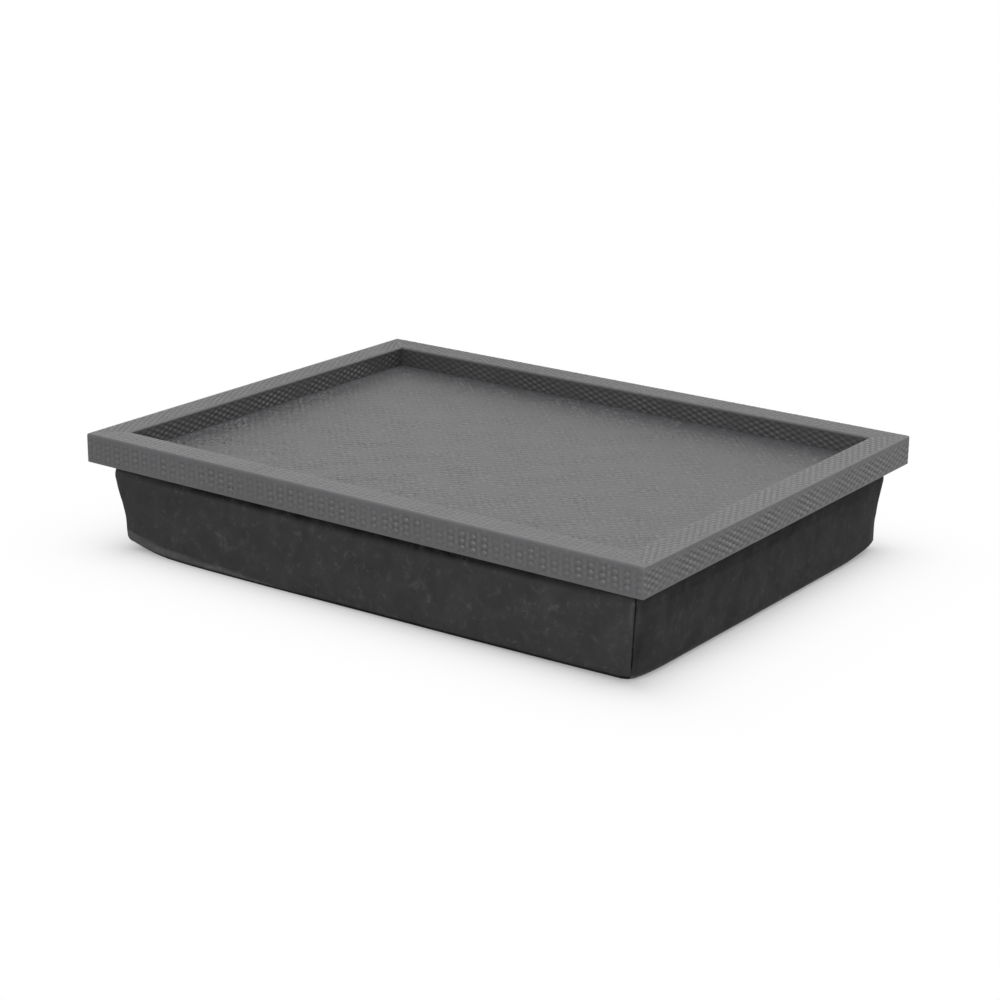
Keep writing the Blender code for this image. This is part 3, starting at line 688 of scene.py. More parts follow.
def thicken(piece: Object, thickness: float, levels: int = 1) -> None:
    """Give a sheet its thickness inwards, and round it off by subdivision.

    Args:
        piece: an open sheet whose faces point outwards.
        thickness: how thick the cloth is.
        levels: rounds of subdivision.
    """
    wall = piece.modifiers.new("thickness", "SOLIDIFY")
    wall.thickness, wall.offset = thickness, -1
    if levels:
        rounding = piece.modifiers.new("rounding", "SUBSURF")
        rounding.levels = rounding.render_levels = levels


def rounded_line(corners: Array, radii: Sequence[float], spacing: float, steps: int = 4) -> Array:
    """An open line through square corners, each with an arc of its own radius.

    Straight stretches are divided evenly, no further apart than the spacing. An arc's
    points are its centre plus the radius turned from the one stretch to the other.

    Args:
        corners: the line's corners, as rows of two.
        radii: a radius for each corner, 0 where it stays square.
        spacing: the longest step on a straight stretch.
        steps: how many steps an arc has.

    Returns:
        The line's points.
    """
    corners = np.asarray(corners, float)
    runs: list[Array] = []
    leaving = corners[0]
    for i in range(1, len(corners)):
        back = corners[i - 1] - corners[i]
        back /= np.linalg.norm(back)
        arriving = corners[i] + radii[i] * back
        count = max(1, math.ceil(np.linalg.norm(arriving - leaving) / spacing))
        share = np.linspace(0, 1, count + 1)[:, None]
        runs.append((leaving + (arriving - leaving) * share)[(0 if i == 1 else 1) :])
        leaving = corners[i]
        if radii[i] > 0 and i + 1 < len(corners):
            on = corners[i + 1] - corners[i]
            on /= np.linalg.norm(on)
            centre = corners[i] + radii[i] * (back + on)
            turn = np.linspace(0, math.pi / 2, steps + 1)[1:, None]
            runs.append(centre - radii[i] * (on * np.cos(turn) + back * np.sin(turn)))
            leaving = corners[i] + radii[i] * on
    return np.concatenate(runs)


def run_length(line: Array) -> Array:
    """How far along an open line each of its points lies."""
    steps = np.linalg.norm(np.diff(line, axis=0), axis=1)
    return np.concatenate(([0], np.cumsum(steps)))


@dataclass
class LeatherTray:
    """The tray: leather over four mitred rails and a panel, felt below. Lengths in metres.

    On the rails' inner faces the plait keeps only a share of its depth, and the leather is
    darkened by a share of its tone as painted shade; both are given for the long and for the
    short sides.
    """

    rail_width: float = 25 * MM
    rim_round: float = 2 * MM
    top_round: float = 2 * MM
    low_round: float = 0.6 * MM
    corner_round: float = 0.9 * MM
    leather: float = 1 * MM
    lip: float = 10 * MM
    mitre_gap: float = 0.04 * MM
    end_zone: float = 30 * MM
    fold_width: float = 3.2 * MM
    inner_depths: tuple[float, float] = (0.32, 0.52)
    inner_painted_shades: tuple[float, float] = (0.32, 0.41)
    edge_wear: float = 0.3
    samples: int = 6
    panel_gap: float = 0.08 * MM
    panel_row: float = 1.5 * MM
    half_length: float = field(init=False)
    half_depth: float = field(init=False)
    bottom: float = field(init=False)
    top: float = field(init=False)
    surface: tuple[float, float] = field(init=False)

    def __post_init__(self) -> None:
        """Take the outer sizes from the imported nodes."""
        low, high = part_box("rail_leather_front")
        self.half_length, self.half_depth = high.x, -low.y
        self.bottom, self.top = low.z, high.z
        low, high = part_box("panel_leather")
        self.surface = (low.z, high.z)

    def round_corner(self, points: Array) -> Array:
        """Points with the tray's four upright outer corners rounded.

        Within a square of the radius at each corner, a point's offset from the square's
        inner corner keeps its direction and is shortened so that squares become circles:
        it is multiplied by its larger part over its length.
        """
        x, y = points[..., 0], points[..., 1]
        dx = np.abs(x) - (self.half_length - self.corner_round)
        dy = np.abs(y) - (self.half_depth - self.corner_round)
        inside = (dx > 0) & (dy > 0)
        length = np.hypot(dx, dy)
        share = np.where(inside, np.maximum(dx, dy) / np.maximum(length, 1e-9), 1.0)
        rounded = points.copy()
        rounded[..., 0] = np.where(inside, np.sign(x) * (np.abs(x) - dx * (1 - share)), x)
        rounded[..., 1] = np.where(inside, np.sign(y) * (np.abs(y) - dy * (1 - share)), y)
        return rounded

    @property
    def folds(self) -> tuple[float, float, float]:
        """How far round a rail's section, from the lip's edge, each of its folds lies."""
        face = self.top - self.bottom
        return self.lip, self.lip + face, self.lip + face + self.rail_width

    def shown(self, side: Side, drawn: Array) -> Array:
        """How much of the plait's depth is left round a rail's section.

        It runs out where the leather is drawn tight round a fold, on the lip and at the
        foot of the inner face. That face was drawn down last and tightest.

        Args:
            side: the rail's side.
            drawn: places round the section, from the lip's edge.

        Returns:
            The share that is left at each place, from 0 to 1.
        """
        low, outer, inner = self.folds
        places = (low, outer - 2 * MM, inner - 1 * MM)
        flat = sum(bell(drawn, place, self.fold_width) for place in places)
        shown = np.clip(1 - flat, 0.05, 1) * smooth((drawn - self.lip) / (3 * MM))
        shown *= smooth((drawn[-1] - drawn) / (2 * MM))
        return shown * np.where(drawn > inner, self.inner_depths[side.value % 2], 1.0)

    def painted_light_and_wear(self, side: Side, drawn: Array, edge: Array) -> Array:
        """How light a rail's leather is: painted shade darkens its inner face, and its upright
        edges are worn lighter.

        Args:
            side: the rail's side.
            drawn: places round the section, from the lip's edge.
            edge: how far each point is from the nearer upright edge, which is rubbed most.

        Returns:
            A factor for the tone of each point.
        """
        _, outer, inner = self.folds
        # Painted shade: the inner face is darkened by a share of its tone
        plain = 1 - self.inner_painted_shades[side.value % 2] * smooth((drawn - inner + 1 * MM) / (2 * MM))
        worn = self.edge_wear * bell(edge, 0.4 * MM, 1 * MM) * (drawn < outer)[:, None]
        return plain[:, None] + worn

    def wrap_rail(self, side: Side) -> Object:
        """Leather round one rail, with its plait in relief and mitred ends.

        The rail's section is a line of (distance inwards, height): from the lip below,
        round the outer face, the top and the inner face. Each point of it, moved along its
        own normal by the relief times the plait's height over its level, is carried along
        the rail. Near the ends the places along are drawn in evenly to meet the mitre.
        """
        finish = FRONT_LEATHER if side is Side.FRONT else END_LEATHER
        spacing = finish.column * MM / self.samples
        half_run, half_reach = side.reach(self.half_length, self.half_depth)
        w, t, r = self.rail_width, self.leather, self.rim_round
        outline = [(self.lip, self.bottom), (0, self.bottom), (0, self.top), (w, self.top)]
        outline.append((w, self.surface[0]))
        line = rounded_line(outline, [0, self.low_round, self.top_round, r, 0], spacing)
        drawn = run_length(line)
        slope = np.gradient(line, drawn, axis=0)
        normal = np.stack((-slope[:, 1], slope[:, 0]), axis=1)
        normal /= np.linalg.norm(normal, axis=1, keepdims=True)

        core = math.floor((half_run - self.end_zone) / spacing) * spacing
        middle = np.arange(-round(core / spacing), round(core / spacing) + 1) * spacing
        ends = round((half_run - core) / spacing)
        share = np.linspace(0, 1, ends + 1)[1:]

        nominal = np.concatenate(
            (-core - share[::-1] * (half_run - core), middle, core + share * (half_run - core))
        )
        squeeze = (half_run - line[:, :1] - self.mitre_gap - core) / (half_run - core)
        over = np.clip(np.abs(nominal) - core, 0, None)
        along = np.sign(nominal) * (np.minimum(np.abs(nominal), core) + over * squeeze)
        pillow = finish.pillow(along / MM, (drawn / MM)[:, None])
        patchy = 0.4 + 0.6 * wander(along / MM + 90 * side.value, (drawn / MM)[:, None])
        edge = half_run - line[:, :1] - np.abs(along)
        press = self.shown(side, drawn)[:, None] * patchy * smooth((edge + 0.5 * MM) / (3.5 * MM))
        raised = finish.raised * MM * (pillow - finish.level) * press
        inward = line[:, :1] + normal[:, :1] * raised
        height = line[:, 1:] + normal[:, 1:] * raised
        # The relief also draws the ends in or out, so that they stay on the mitre
        along = along - np.sign(nominal) * (inward - line[:, :1]) * over / (half_run - core)
        outer = side.at(along, half_reach - inward, height)

        backing = [(w - t, self.surface[0]), (w - t, self.top - t), (t, self.top - t)]
        backing += [(t, self.bottom + t), (self.lip, self.bottom + t)]
        radii = [0, r - t, self.top_round - t, 0, 0]
        back = rounded_line(backing, radii, 8 * MM, 2)
        squeeze = (half_run - back[:, :1] - self.mitre_gap - core) / (half_run - core)
        along_back = np.sign(nominal) * (np.minimum(np.abs(nominal), core) + over * squeeze)
        inner = side.at(along_back, half_reach - back[:, :1], back[:, 1:])

        points = np.concatenate((outer, inner))
        index = np.arange(points[..., 0].size).reshape(points.shape[:2])
        flat_across = np.concatenate((drawn, drawn[-1] + t + run_length(back)))
        flat_along = np.concatenate((along, along_back))
        cut = np.stack((flat_along, np.broadcast_to(flat_across[:, None], flat_along.shape)), -1)
        faces = [grid_faces(index, closed_rows=True), index[:, 0][None], index[::-1, -1][None]]
        values = {
            PRESS: np.concatenate((press, 0 * along_back)),
            PAINTED_LIGHT_AND_WEAR: self.painted_light_and_wear(side, flat_across, half_run - np.abs(flat_along)),
        }
        name = f"rail_leather_{side.label}_embossed"
        piece = make(
            name, self.round_corner(points), faces, finish, cut=cut / MM, values=values
        )
        return settle(piece, "tray", "woven_leather", f"rail_leather_{side.label}")

    def lay_panel(self) -> Object:
        """The leather on the panel: a level grid sunk by the plait, with a flat back.

        Height is the panel's top plus the relief times the plait's height over its level,
        which runs out towards the edge. Towards the edge the leather also carries painted light,
        which lifts the shade at the foot of the walls.
        """
        finish = PANEL_LEATHER
        column = finish.column * MM / 3
        row = self.panel_row
        margin = self.rail_width + self.panel_gap
        half_x, half_y = self.half_length - margin, self.half_depth - margin
        steps_x, steps_y = math.floor(half_x / column), math.floor(half_y / row)
        x = np.concatenate(([-half_x], np.arange(-steps_x, steps_x + 1) * column, [half_x]))
        y = np.concatenate(([-half_y], np.arange(-steps_y, steps_y + 1) * row, [half_y]))
        across, along = np.meshgrid(y, x, indexing="ij")
        pillow = finish.pillow(along / MM, across / MM)
        edge = np.minimum(half_x - np.abs(along), half_y - np.abs(across))
        low, high = self.surface
        # Deepest towards the front, where the roller's pressure was highest
        patchy = wander(along / MM, across / MM) * (0.8 - 0.35 * across / half_y)
        press = patchy * smooth(edge / (3 * MM))
        # Painted light along the panel's edge, against the shade at the foot of the walls
        edge_painted_light = 1 + 0.4 * bell(edge, 0.0, 11 * MM)
        height = high + finish.raised * MM * (pillow - finish.level) * press
        top = np.stack((along, across, height), axis=-1).reshape(-1, 3)
        index = np.arange(len(top)).reshape(along.shape)
        rim = rim_of(index)
        under = top[rim] * (1, 1, 0) + (0, 0, low)
        below = np.arange(len(under)) + len(top)
        faces = [grid_faces(index), grid_faces(np.stack((rim, below)), closed_columns=True)]
        points = np.concatenate((top, under))
        values = {
            PRESS: np.concatenate((press.ravel(), np.zeros(len(under)))),
            PAINTED_LIGHT_AND_WEAR: np.concatenate((edge_painted_light.ravel(), np.ones(len(under)))),
        }
        piece = make(
            "panel_leather_embossed",
            points,
            [*faces, below[None]],
            finish,
            cut=points[:, :2] / MM,
            values=values,
        )
        return settle(piece, "tray", "woven_leather", "panel_leather")

    def line_underside(self) -> Object:
        """Felt glued under the panel: a level sheet whose lower face undulates slightly."""
        low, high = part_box("underside_lining")
        x, y = np.linspace(low.x, high.x, 120), np.linspace(low.y, high.y, 92)
        across, along = np.meshgrid(y, x, indexing="ij")
        wave = np.sin(along / (17 * MM)) * np.sin(across / (13 * MM))
        edge = np.minimum(high.x - np.abs(along), high.y - np.abs(across))
        under = low.z + 0.12 * MM * (1 + wave) * smooth(edge / (8 * MM))
        piece = make("underside_felt", *slab(x, y, under, high.z), FELT)
        return settle(piece, "tray", "lining_felt", "underside_lining")

    def build(self) -> list[Object]:
        """All of the tray's leather and felt."""
        wraps = [self.wrap_rail(side) for side in Side]
        return [*wraps, self.lay_panel(), self.line_underside()]


@dataclass
class CushionForm:
    """The bean cushion's outer form. Insets count from the tray's outer faces, in metres."""

    half_length: float = 275 * MM
    half_depth: float = 210 * MM
    height: float = 71.8 * MM
    top_inset: float = 14 * MM
    flare: float = 4.5 * MM
    flare_reach: float = 40 * MM
    roll_height: float = 62.5 * MM
    roll_size: tuple[float, float] = (8 * MM, 11.5 * MM)
    bottom_round: float = 7 * MM
    corner_radii: tuple[float, float, float, float] = (5 * MM, 5 * MM, 1 * MM, 7 * MM)
    sags: tuple[tuple[float, float, float], ...] = (
        (6.8 * MM, -5.4 * MM, 6.0),
        (3.3 * MM, 0.6 * MM, 14.0),
        (4 * MM, 0.0, 2.5),
        (2 * MM, -1 * MM, 2.5),
    )
    sag_levels: tuple[float, float] = (62 * MM, 18 * MM)
    foot_radii: tuple[float, float, float, float] = (6 * MM, 9 * MM, 0.0, 0.0)
    foot_heights: tuple[float, float, float, float] = (56 * MM, 18 * MM, 18 * MM, 18 * MM)
    lifts: tuple[float, float, float, float] = (3.4 * MM, 0.0, 3 * MM, 2.5 * MM)
    lift_reach: float = 62 * MM
    lift_height: float = 30 * MM
    arc_steps: int = 7
    run_steps: int = 88

    @property
    def low_inset(self) -> float:
        """How far in the side stands above its bottom round."""
        return self.top_inset + self.flare

    def profile(self, roll_steps: int = 8, drop_steps: int = 20, foot_steps: int = 6) -> Array:
        """Rows from the top seam down to the bottom seam: inset, height and radius lost.

        The side starts inside a soft roll, an ellipse that stands up under the rail, falls
        from its outer edge, slants inwards, half as an S-curve, and turns under in a
        quarter circle.
        """
        wide, tall = self.roll_size
        turn = np.radians(np.linspace(20, 180, roll_steps + 1))
        inset = self.top_inset + wide + wide * np.cos(turn)
        height = self.roll_height + tall * np.sin(turn)
        roll = np.stack((inset, height, inset - self.top_inset), axis=1)
        height = np.linspace(self.roll_height, self.bottom_round, drop_steps + 1)[1:-1]
        share = (self.roll_height + 3 * MM - height) / self.flare_reach
        share = 0.5 * smooth(share) + 0.5 * np.clip(share, 0, 1)
        inset = self.top_inset + self.flare * share
        drop = np.stack((inset, height, np.zeros_like(inset)), axis=1)
        turn = np.linspace(0, math.pi / 2, foot_steps + 1)
        inset = self.low_inset + self.bottom_round * (1 - np.cos(turn))
        height = self.bottom_round * (1 - np.sin(turn))
        foot = np.stack((inset, height, inset - self.low_inset), axis=1)
        return np.concatenate((roll, drop, foot))

    def columns(self) -> tuple[Array, Array]:
        """Places along a side's straight run from -1 to 1, and turns round its corners.

        Both are closest together at the seams, where the turns follow a power of 1.7.
        """
        run = np.sin(np.linspace(-math.pi / 2, math.pi / 2, self.run_steps + 1))
        run = 0.5 * run + 0.5 * np.linspace(-1, 1, self.run_steps + 1)
        share = np.linspace(0, 1, self.arc_steps + 1)[1:]
        arc = math.pi / 4 * (1 - (1 - share) ** 1.7)
        ones = np.ones(self.arc_steps)
        place = np.concatenate((-ones, run, ones))
        turn = np.concatenate((-arc[::-1], np.zeros(self.run_steps + 1), arc))
        return place, turn

    def side(self, side: Side, rows: Array, inward: float = 0.0) -> Array:
        """Points of one side, in the rows of a profile and the columns of the plan.

        The plan is a rectangle with round corners, of which a side owns half at each end.
        Its straight run is pushed out by a straight slope times one less a power of its
        place.
        """
        place, turn = self.columns()
        half_run, half_reach = side.reach(self.half_length, self.half_depth)
        inset, height, lost = (rows[:, [k]] for k in range(3))
        radii = [self.corner_radii[(side.value + end) % 4] for end in (0, 1)]
        grown = [self.foot_radii[(side.value + end) % 4] for end in (0, 1)]
        tall = [self.foot_heights[(side.value + end) % 4] for end in (0, 1)]
        grown = np.where(place < 0, *grown) * smooth(1 - height / np.where(place < 0, *tall))
        radius = np.where(place < 0, *radii) + grown - lost - inward
        radius = np.maximum(radius, 0.5 * MM)
        high, full = self.sag_levels
        low_share = smooth((high - height) / (high - full))
        middle, tilt, power = self.sags[side.value]
        sag = (middle + tilt * place) * (1 - np.abs(place) ** power) * low_share
        along = place * (half_run - inset - inward - radius) + radius * np.sin(turn)
        outward = half_reach - inset - inward - radius + radius * np.cos(turn) + sag
        return side.at(along, outward, np.broadcast_to(height, along.shape))

    def loops(self, rows: Array, inward: float = 0.0) -> Array:
        """The four sides joined into closed loops, one for each row."""
        return np.concatenate([self.side(s, rows, inward)[:, :-1] for s in Side], axis=1)

    def lifted(self, points: Array) -> Array:
        """Points with the bottom corners raised, where the cover is drawn up."""
        foot_x, foot_y = self.half_length - self.low_inset, self.half_depth - self.low_inset
        far = np.hypot(foot_x - np.abs(points[..., 0]), foot_y - np.abs(points[..., 1]))
        near = (1 - smooth(far / self.lift_reach)) * (1 - smooth(points[..., 2] / self.lift_height))
        front, right = points[..., 1] < 0, points[..., 0] > 0
        rise = np.select([front & ~right, front & right, right], self.lifts[:3], self.lifts[3])
        risen = points.copy()
        risen[..., 2] += rise * near
        return risen


def ring_caps(loop: Array, shares: Sequence[float], height: float | None = None) -> Array:
    """Ever smaller copies of a level loop, drawn in towards its middle.

    Args:
        loop: the points of the loop.
        shares: the size of each copy as a share of the loop's.
        height: their height, or None to keep the loop's.

    Returns:
        The copies, one after another.
    """
    middle = loop.mean(axis=0) * (0, 0, 1)
    copies = middle + np.asarray(shares)[:, None, None] * (loop - middle)
    if height is not None:
        copies[..., 2] = height
    return copies


def closed_body(rings: Array) -> tuple[Array, list[Array]]:
    """A closed surface through rings of as many points, with a pole at either end.

    Args:
        rings: the rings, as rows of points.

    Returns:
        The points and the groups of faces.
    """
    count = rings.shape[1]
    points = np.concatenate((rings.reshape(-1, 3), [rings[0].mean(axis=0), rings[-1].mean(axis=0)]))
    index = np.arange(rings.shape[0] * count).reshape(-1, count)
    fans = []
    for pole, ring in ((index.size, index[0]), (index.size + 1, index[-1])):
        fans.append(np.stack((np.full(count, pole), ring, np.roll(ring, -1)), axis=1))
    return points, [grid_faces(index, closed_columns=True), *fans]


def inflate(
    points: Array, faces: Sequence[Array], hold: Array, most: float, frames: int = 20
) -> Array:
    """Let a closed cloth bag fill out under pressure, with Blender's cloth simulation.

    Gravity is off. No point may end up further from its start than the cap.

    Args:
        points: the bag's points.
        faces: its faces.
        hold: from 0 to 1, how firmly each point is kept where it is.
        most: the furthest that a point may move.
        frames: how long the run is.

    Returns:
        The points after the run.
    """
    bag = make("simulated_bag", points, faces, SUEDE)
    group = bag.vertex_groups.new(name="hold")
    for level in np.unique(np.round(hold, 2)):
        group.add(np.flatnonzero(np.round(hold, 2) == level).tolist(), float(level), "REPLACE")
    cloth = bag.modifiers.new("filling", "CLOTH")
    settings = cloth.settings
    settings.quality = 6
    settings.mass = 0.3
    settings.tension_stiffness = settings.compression_stiffness = 12
    settings.shear_stiffness = 4
    settings.bending_stiffness = 0.6
    settings.use_pressure = True
    settings.uniform_pressure_force = 1.6
    settings.shrink_min = -0.02
    settings.vertex_group_mass = "hold"
    settings.pin_stiffness = 1.0
    settings.effector_weights.gravity = 0
    scene = bpy.context.scene
    cloth.point_cache.frame_start, cloth.point_cache.frame_end = 1, frames
    for number in range(1, frames + 1):
        scene.frame_set(number)
    shape = bag.evaluated_get(bpy.context.evaluated_depsgraph_get()).to_mesh()
    moved = np.empty(len(points) * 3, np.float32)
    shape.vertices.foreach_get("co", moved)
    mesh = bag.data
    bpy.data.objects.remove(bag)
    bpy.data.meshes.remove(mesh)
    scene.frame_set(1)
    shift = moved.reshape(-1, 3) - points
    far = np.linalg.norm(shift, axis=1, keepdims=True)
    LOG.info("filling moved the cover by up to %.1f mm", far.max() / MM)
    return points + shift * np.minimum(1, most / np.maximum(far, 1e-9))


def outward_normals(grid: Array) -> Array:
    """Unit normals of a grid of points, from the cross product of its two slopes."""
    normal = np.cross(np.gradient(grid, axis=1), np.gradient(grid, axis=0))
    normal /= np.maximum(np.linalg.norm(normal, axis=-1, keepdims=True), 1e-12)
    away = grid - BEAN_MIDDLE
    facing = (normal * away).sum(axis=-1, keepdims=True)
    return normal * np.sign(np.where(facing == 0, 1, facing))


@dataclass
class BeanCushion:
    """The cushion: suede sides and bottom, cotton top, calico liner and beads.

    Beside its seams a side has a ridge, puckers and slanting folds of slack, and waves
    between them, each given by its height. The painted light on the front's lower edge has a
    height and a length.
    """

    form: CushionForm = field(default_factory=CushionForm)
    suede: float = 1.0 * MM
    cotton: float = 0.9 * MM
    seam_reach: float = 2.4 * MM
    seam_depth: float = 1.9 * MM
    fold_under: tuple[float, ...] = (1.6 * MM, 3.6 * MM)
    slit: tuple[float, float] = (153.6 * MM, 6 * MM)
    most_swell: float = 3.2 * MM
    seam_gap: float = 0.16 * MM
    ridge: float = 0.35 * MM
    pucker: float = 0.08 * MM
    slack: float = 0.2 * MM
    wave: float = 0.2 * MM
    lit_strip: tuple[float, float] = (14 * MM, 250 * MM)

    def swell(self, filled: Array) -> Array:
        """How far the liner follows the cover outwards, square to the side and level.

        It is the cover's own outward movement, or its neighbours' if less, so that the
        liner stays inside every fold.
        """
        plain = self.form.lifted(self.form.loops(self.form.profile()))
        ahead = np.roll(plain, -1, axis=1) - np.roll(plain, 1, axis=1)
        outward = np.stack((ahead[..., 1], -ahead[..., 0], 0 * ahead[..., 0]), axis=-1)
        outward /= np.linalg.norm(outward, axis=-1, keepdims=True)
        moved = ((filled - plain) * outward).sum(axis=-1)
        for step in (1, 2, 3):
            moved = np.minimum(moved, np.minimum(np.roll(moved, step, 1), np.roll(moved, -step, 1)))
        moved[1:-1] = np.minimum(moved[1:-1], np.minimum(moved[:-2], moved[2:]))
        return outward * np.clip(moved - 0.2 * MM, -3 * MM, 3 * MM)[..., None]

    def filled(self) -> Array:
        """The side's loops after the filling has pressed the cover out."""
        form = self.form
        loops = form.lifted(form.loops(form.profile()))
        shares = (0.94, 0.85, 0.7, 0.5, 0.25)
        over = ring_caps(loops[0], shares, form.height)[::-1]
        under = ring_caps(loops[-1], shares, 0.0)
        rings = np.concatenate((over, loops, under))
        points, faces = closed_body(rings)
        rows, columns = loops.shape[:2]
        hold = np.ones(rings.shape[:2])
        height = loops[..., 2]
        free = smooth((form.roll_height + 1 * MM - height) / (12 * MM)) * smooth(height / (9 * MM))
        seam = np.arange(columns) % (columns // 4)
        seam = np.minimum(seam, columns // 4 - seam)
        held = np.where(seam == 0, 0.7, np.where(seam < 4, 0.15, 0.0))
        hold[len(shares) : len(shares) + rows] = np.maximum(1 - free, held)
        moved = inflate(points, faces, np.append(hold.ravel(), (1, 1)), self.most_swell)
        moved = moved[: rings[..., 0].size].reshape(rings.shape)
        swelling = moved[len(shares) : len(shares) + rows] - loops
        # The beads press creases flat: each point takes a share of its neighbours' movement
        calm = 0.5 * smooth(seam / 5)[:, None]
        for _ in range(12):
            beside = (np.roll(swelling, 1, axis=1) + np.roll(swelling, -1, axis=1)) / 2
            swelling = swelling + calm * (beside - swelling)
            level = (swelling[:-2] + swelling[2:]) / 2
            swelling[1:-1] += 0.5 * (level - swelling[1:-1])
        # The seams keep the corners drawn in
        swelling = swelling * (0.2 + 0.8 * smooth(seam / 13))[:, None]
        return loops + swelling

    def sewn(self, height: Array) -> Array:
        """How firmly a corner is sewn at a height: not at all at the floor, fully above."""
        return smooth((height - 8 * MM) / (6 * MM))

    def relief(self, side: Side, height: Array, along: Array, reach: Array) -> Array:
        """How far the points of a side stand out from the cushion's form.

        Near a seam the cloth rounds over into it as a quarter circle, and stands up in a
        slight ridge beside it. Puckers are sine waves up the seam that fade with the
        distance from it.

        Args:
            side: the side.
            height: the points' heights.
            along: their distances from the side's first seam.
            reach: their distances from the nearer seam.

        Returns:
            The distances along the form's normal.
        """
        near = np.clip(1 - reach / self.seam_reach, 0, 1)
        sewn = self.sewn(height)
        notch = (0.75 + 1.1 * bell(height, 15 * MM, 7 * MM)) * sewn
        turned = self.seam_depth * notch * (1 - np.sqrt(1 - near**2))
        ridge = self.ridge * bell(reach, 4.2 * MM, 2.2 * MM) * sewn
        phase = 1.3 * side.value + 2.1 * (along < along[:, -1:] - along)
        pucker = np.sin(height / (2.6 * MM) + phase) + 0.6 * np.sin(height / (1.5 * MM) - phase)
        pucker = self.pucker * pucker * np.exp(-reach / (7 * MM)) * smooth(reach / (2 * MM)) * sewn
        # Slack that hangs in slanting folds from the corners, longest near the floor, and
        # hardly shows on the right side
        slant = reach * 0.8 + height * (1.1 + 0.25 * math.sin(3.7 * side.value))
        slack = self.slack * np.sin(slant / (4.4 * MM) + phase) * bell(reach, 18 * MM, 12 * MM)
        slack *= 0.2 if side is Side.RIGHT else 1.0
        slack *= smooth(height / (12 * MM)) * smooth((58 * MM - height) / (30 * MM))
        # Long, very shallow waves along the run, where the beads settle unevenly
        place = along / MM + 37 * side.value
        waves = np.sin(place / 23) + 0.3 * np.sin(place / 13.3 + height / (14 * MM))
        waves = self.wave * waves * smooth(reach / (40 * MM)) * bell(height, 34 * MM, 26 * MM)
        return ridge + pucker + slack + waves - turned

    def paint_light_and_shade(self, side: Side, height: Array, along: Array, reach: Array) -> Array:
        """How much paler or darker the suede is painted at the points of a side, as painted light
        and shade.

        Args:
            side: the side.
            height: the points' heights.
            along: their distances from the side's first seam.
            reach: their distances from the nearer seam.

        Returns:
            The painted light of each point, below 0 where it is painted shade.
        """
        # Painted highlight on the ridge beside the seam near the top, and painted light from the
        # floor along the foot
        lip = 0.38 * bell(height, 56 * MM, 13 * MM)
        painted_light = lip * bell(reach, 2.8 * MM, 1.4 * MM) + 0.3 * bell(height, 0.0, 2.5 * MM)
        # Painted shade in the seam's crease
        painted_light -= bell(reach, 0.0, 0.5 * MM) * self.sewn(height)
        if side is Side.FRONT:
            # Painted light from the floor on its lower edge, tallest towards the left
            tall, long = self.lit_strip
            rise = height - height[-1]
            wedge = tall * np.clip(1.12 - along / long, 0, 0.95)
            painted_light += 0.78 * smooth((wedge - rise) / (2 * MM)) + 0.01
            # Painted contact shadow along the foot, but for its left end
            painted_light -= 5 * smooth((4 * MM - rise) / (2 * MM)) * smooth(along / (40 * MM) - 0.5)
        elif side is Side.RIGHT:
            first = along < along[:, -1:] - along
            # Painted shade over the whole side, and painted light from the floor along its foot
            painted_light += 1.05 * smooth((6.5 * MM - height) / (5 * MM)) - 0.26
            # Painted shade beside the near corner's seam, low down
            painted_light -= 0.3 * bell(reach, 5 * MM, 5 * MM) * bell(height, 24 * MM, 16 * MM) * first
        # Painted shade under the rim, most of all in the middle of a side
        middle = 1 - np.abs(1 - 2 * along / along[:, -1:]) ** 2
        low = (66 * MM - 5 * MM * middle) if side.is_long else 53 * MM
        deep, ramp = (0.8, 4.5 * MM) if side.is_long else (0.12 + 0.2 * middle, 5 * MM)
        return painted_light - deep * smooth((height - low) / ramp)

    def sew_side(self, side: Side, filled: Array) -> Object:
        """One suede side, whose ends run on straight into the corner seams."""
        span = filled.shape[1] // 4
        picked = np.arange(side.value * span, (side.value + 1) * span + 1) % filled.shape[1]
        grid = filled[:, picked]
        steps = np.linalg.norm(np.diff(grid, axis=1), axis=-1)
        from_start = np.concatenate((np.zeros((len(grid), 1)), np.cumsum(steps, axis=1)), axis=1)
        reach = np.minimum(from_start, from_start[:, -1:] - from_start)
        places = (side, grid[..., 2], from_start, reach)
        sewn = self.sewn(grid[..., 2])
        grid = grid + outward_normals(grid) * self.relief(*places)[..., None]
        edges = []
        for end, sign in ((0, 1), (-1, -1)):
            inner = -np.sign(grid[:, end]) * (1, 1, 0) / math.sqrt(2)
            grid[:, end] += side.at(sign * self.seam_gap * sewn[:, end], 0.0, 0.0)
            edges.append([grid[:, end] + inner * depth for depth in self.fold_under])
        start = np.stack(edges[0][::-1], axis=1)
        stop = np.stack(edges[1], axis=1)
        whole = np.concatenate((start, grid, stop), axis=1)
        count = len(self.fold_under)
        painted_light = np.pad(self.paint_light_and_shade(*places), ((0, 0), (count, count)))
        index = np.arange(whole[..., 0].size).reshape(whole.shape[:2])
        name = f"suede_{side.label}"
        piece = make(name, whole, [grid_faces(index)], SUEDE, values={PAINTED_LIGHT: painted_light})
        self.face_outwards(piece)
        thicken(piece, self.suede)
        return settle(piece, "cushion", "suede_cloth", f"cover_{side.label}_panel")

    def face_outwards(self, piece: Object) -> None:
        """Turn an open sheet over if most of its faces look towards the cushion's middle."""
        mesh = piece.data
        normal = np.empty(len(mesh.polygons) * 3, np.float32)
        centre = np.empty_like(normal)
        mesh.polygons.foreach_get("normal", normal)
        mesh.polygons.foreach_get("center", centre)
        away = centre.reshape(-1, 3) - BEAN_MIDDLE
        if (normal.reshape(-1, 3) * away).sum() < 0:
            mesh.flip_normals()

    def sew_bottom(self, filled: Array) -> Object:
        """The suede bottom: rings from the bottom seam to its middle, level on the floor."""
        edge = filled[-1]
        inner = ring_caps(edge, (0.997, 0.985, 0.96, 0.9, 0.78, 0.6, 0.38, 0.16))
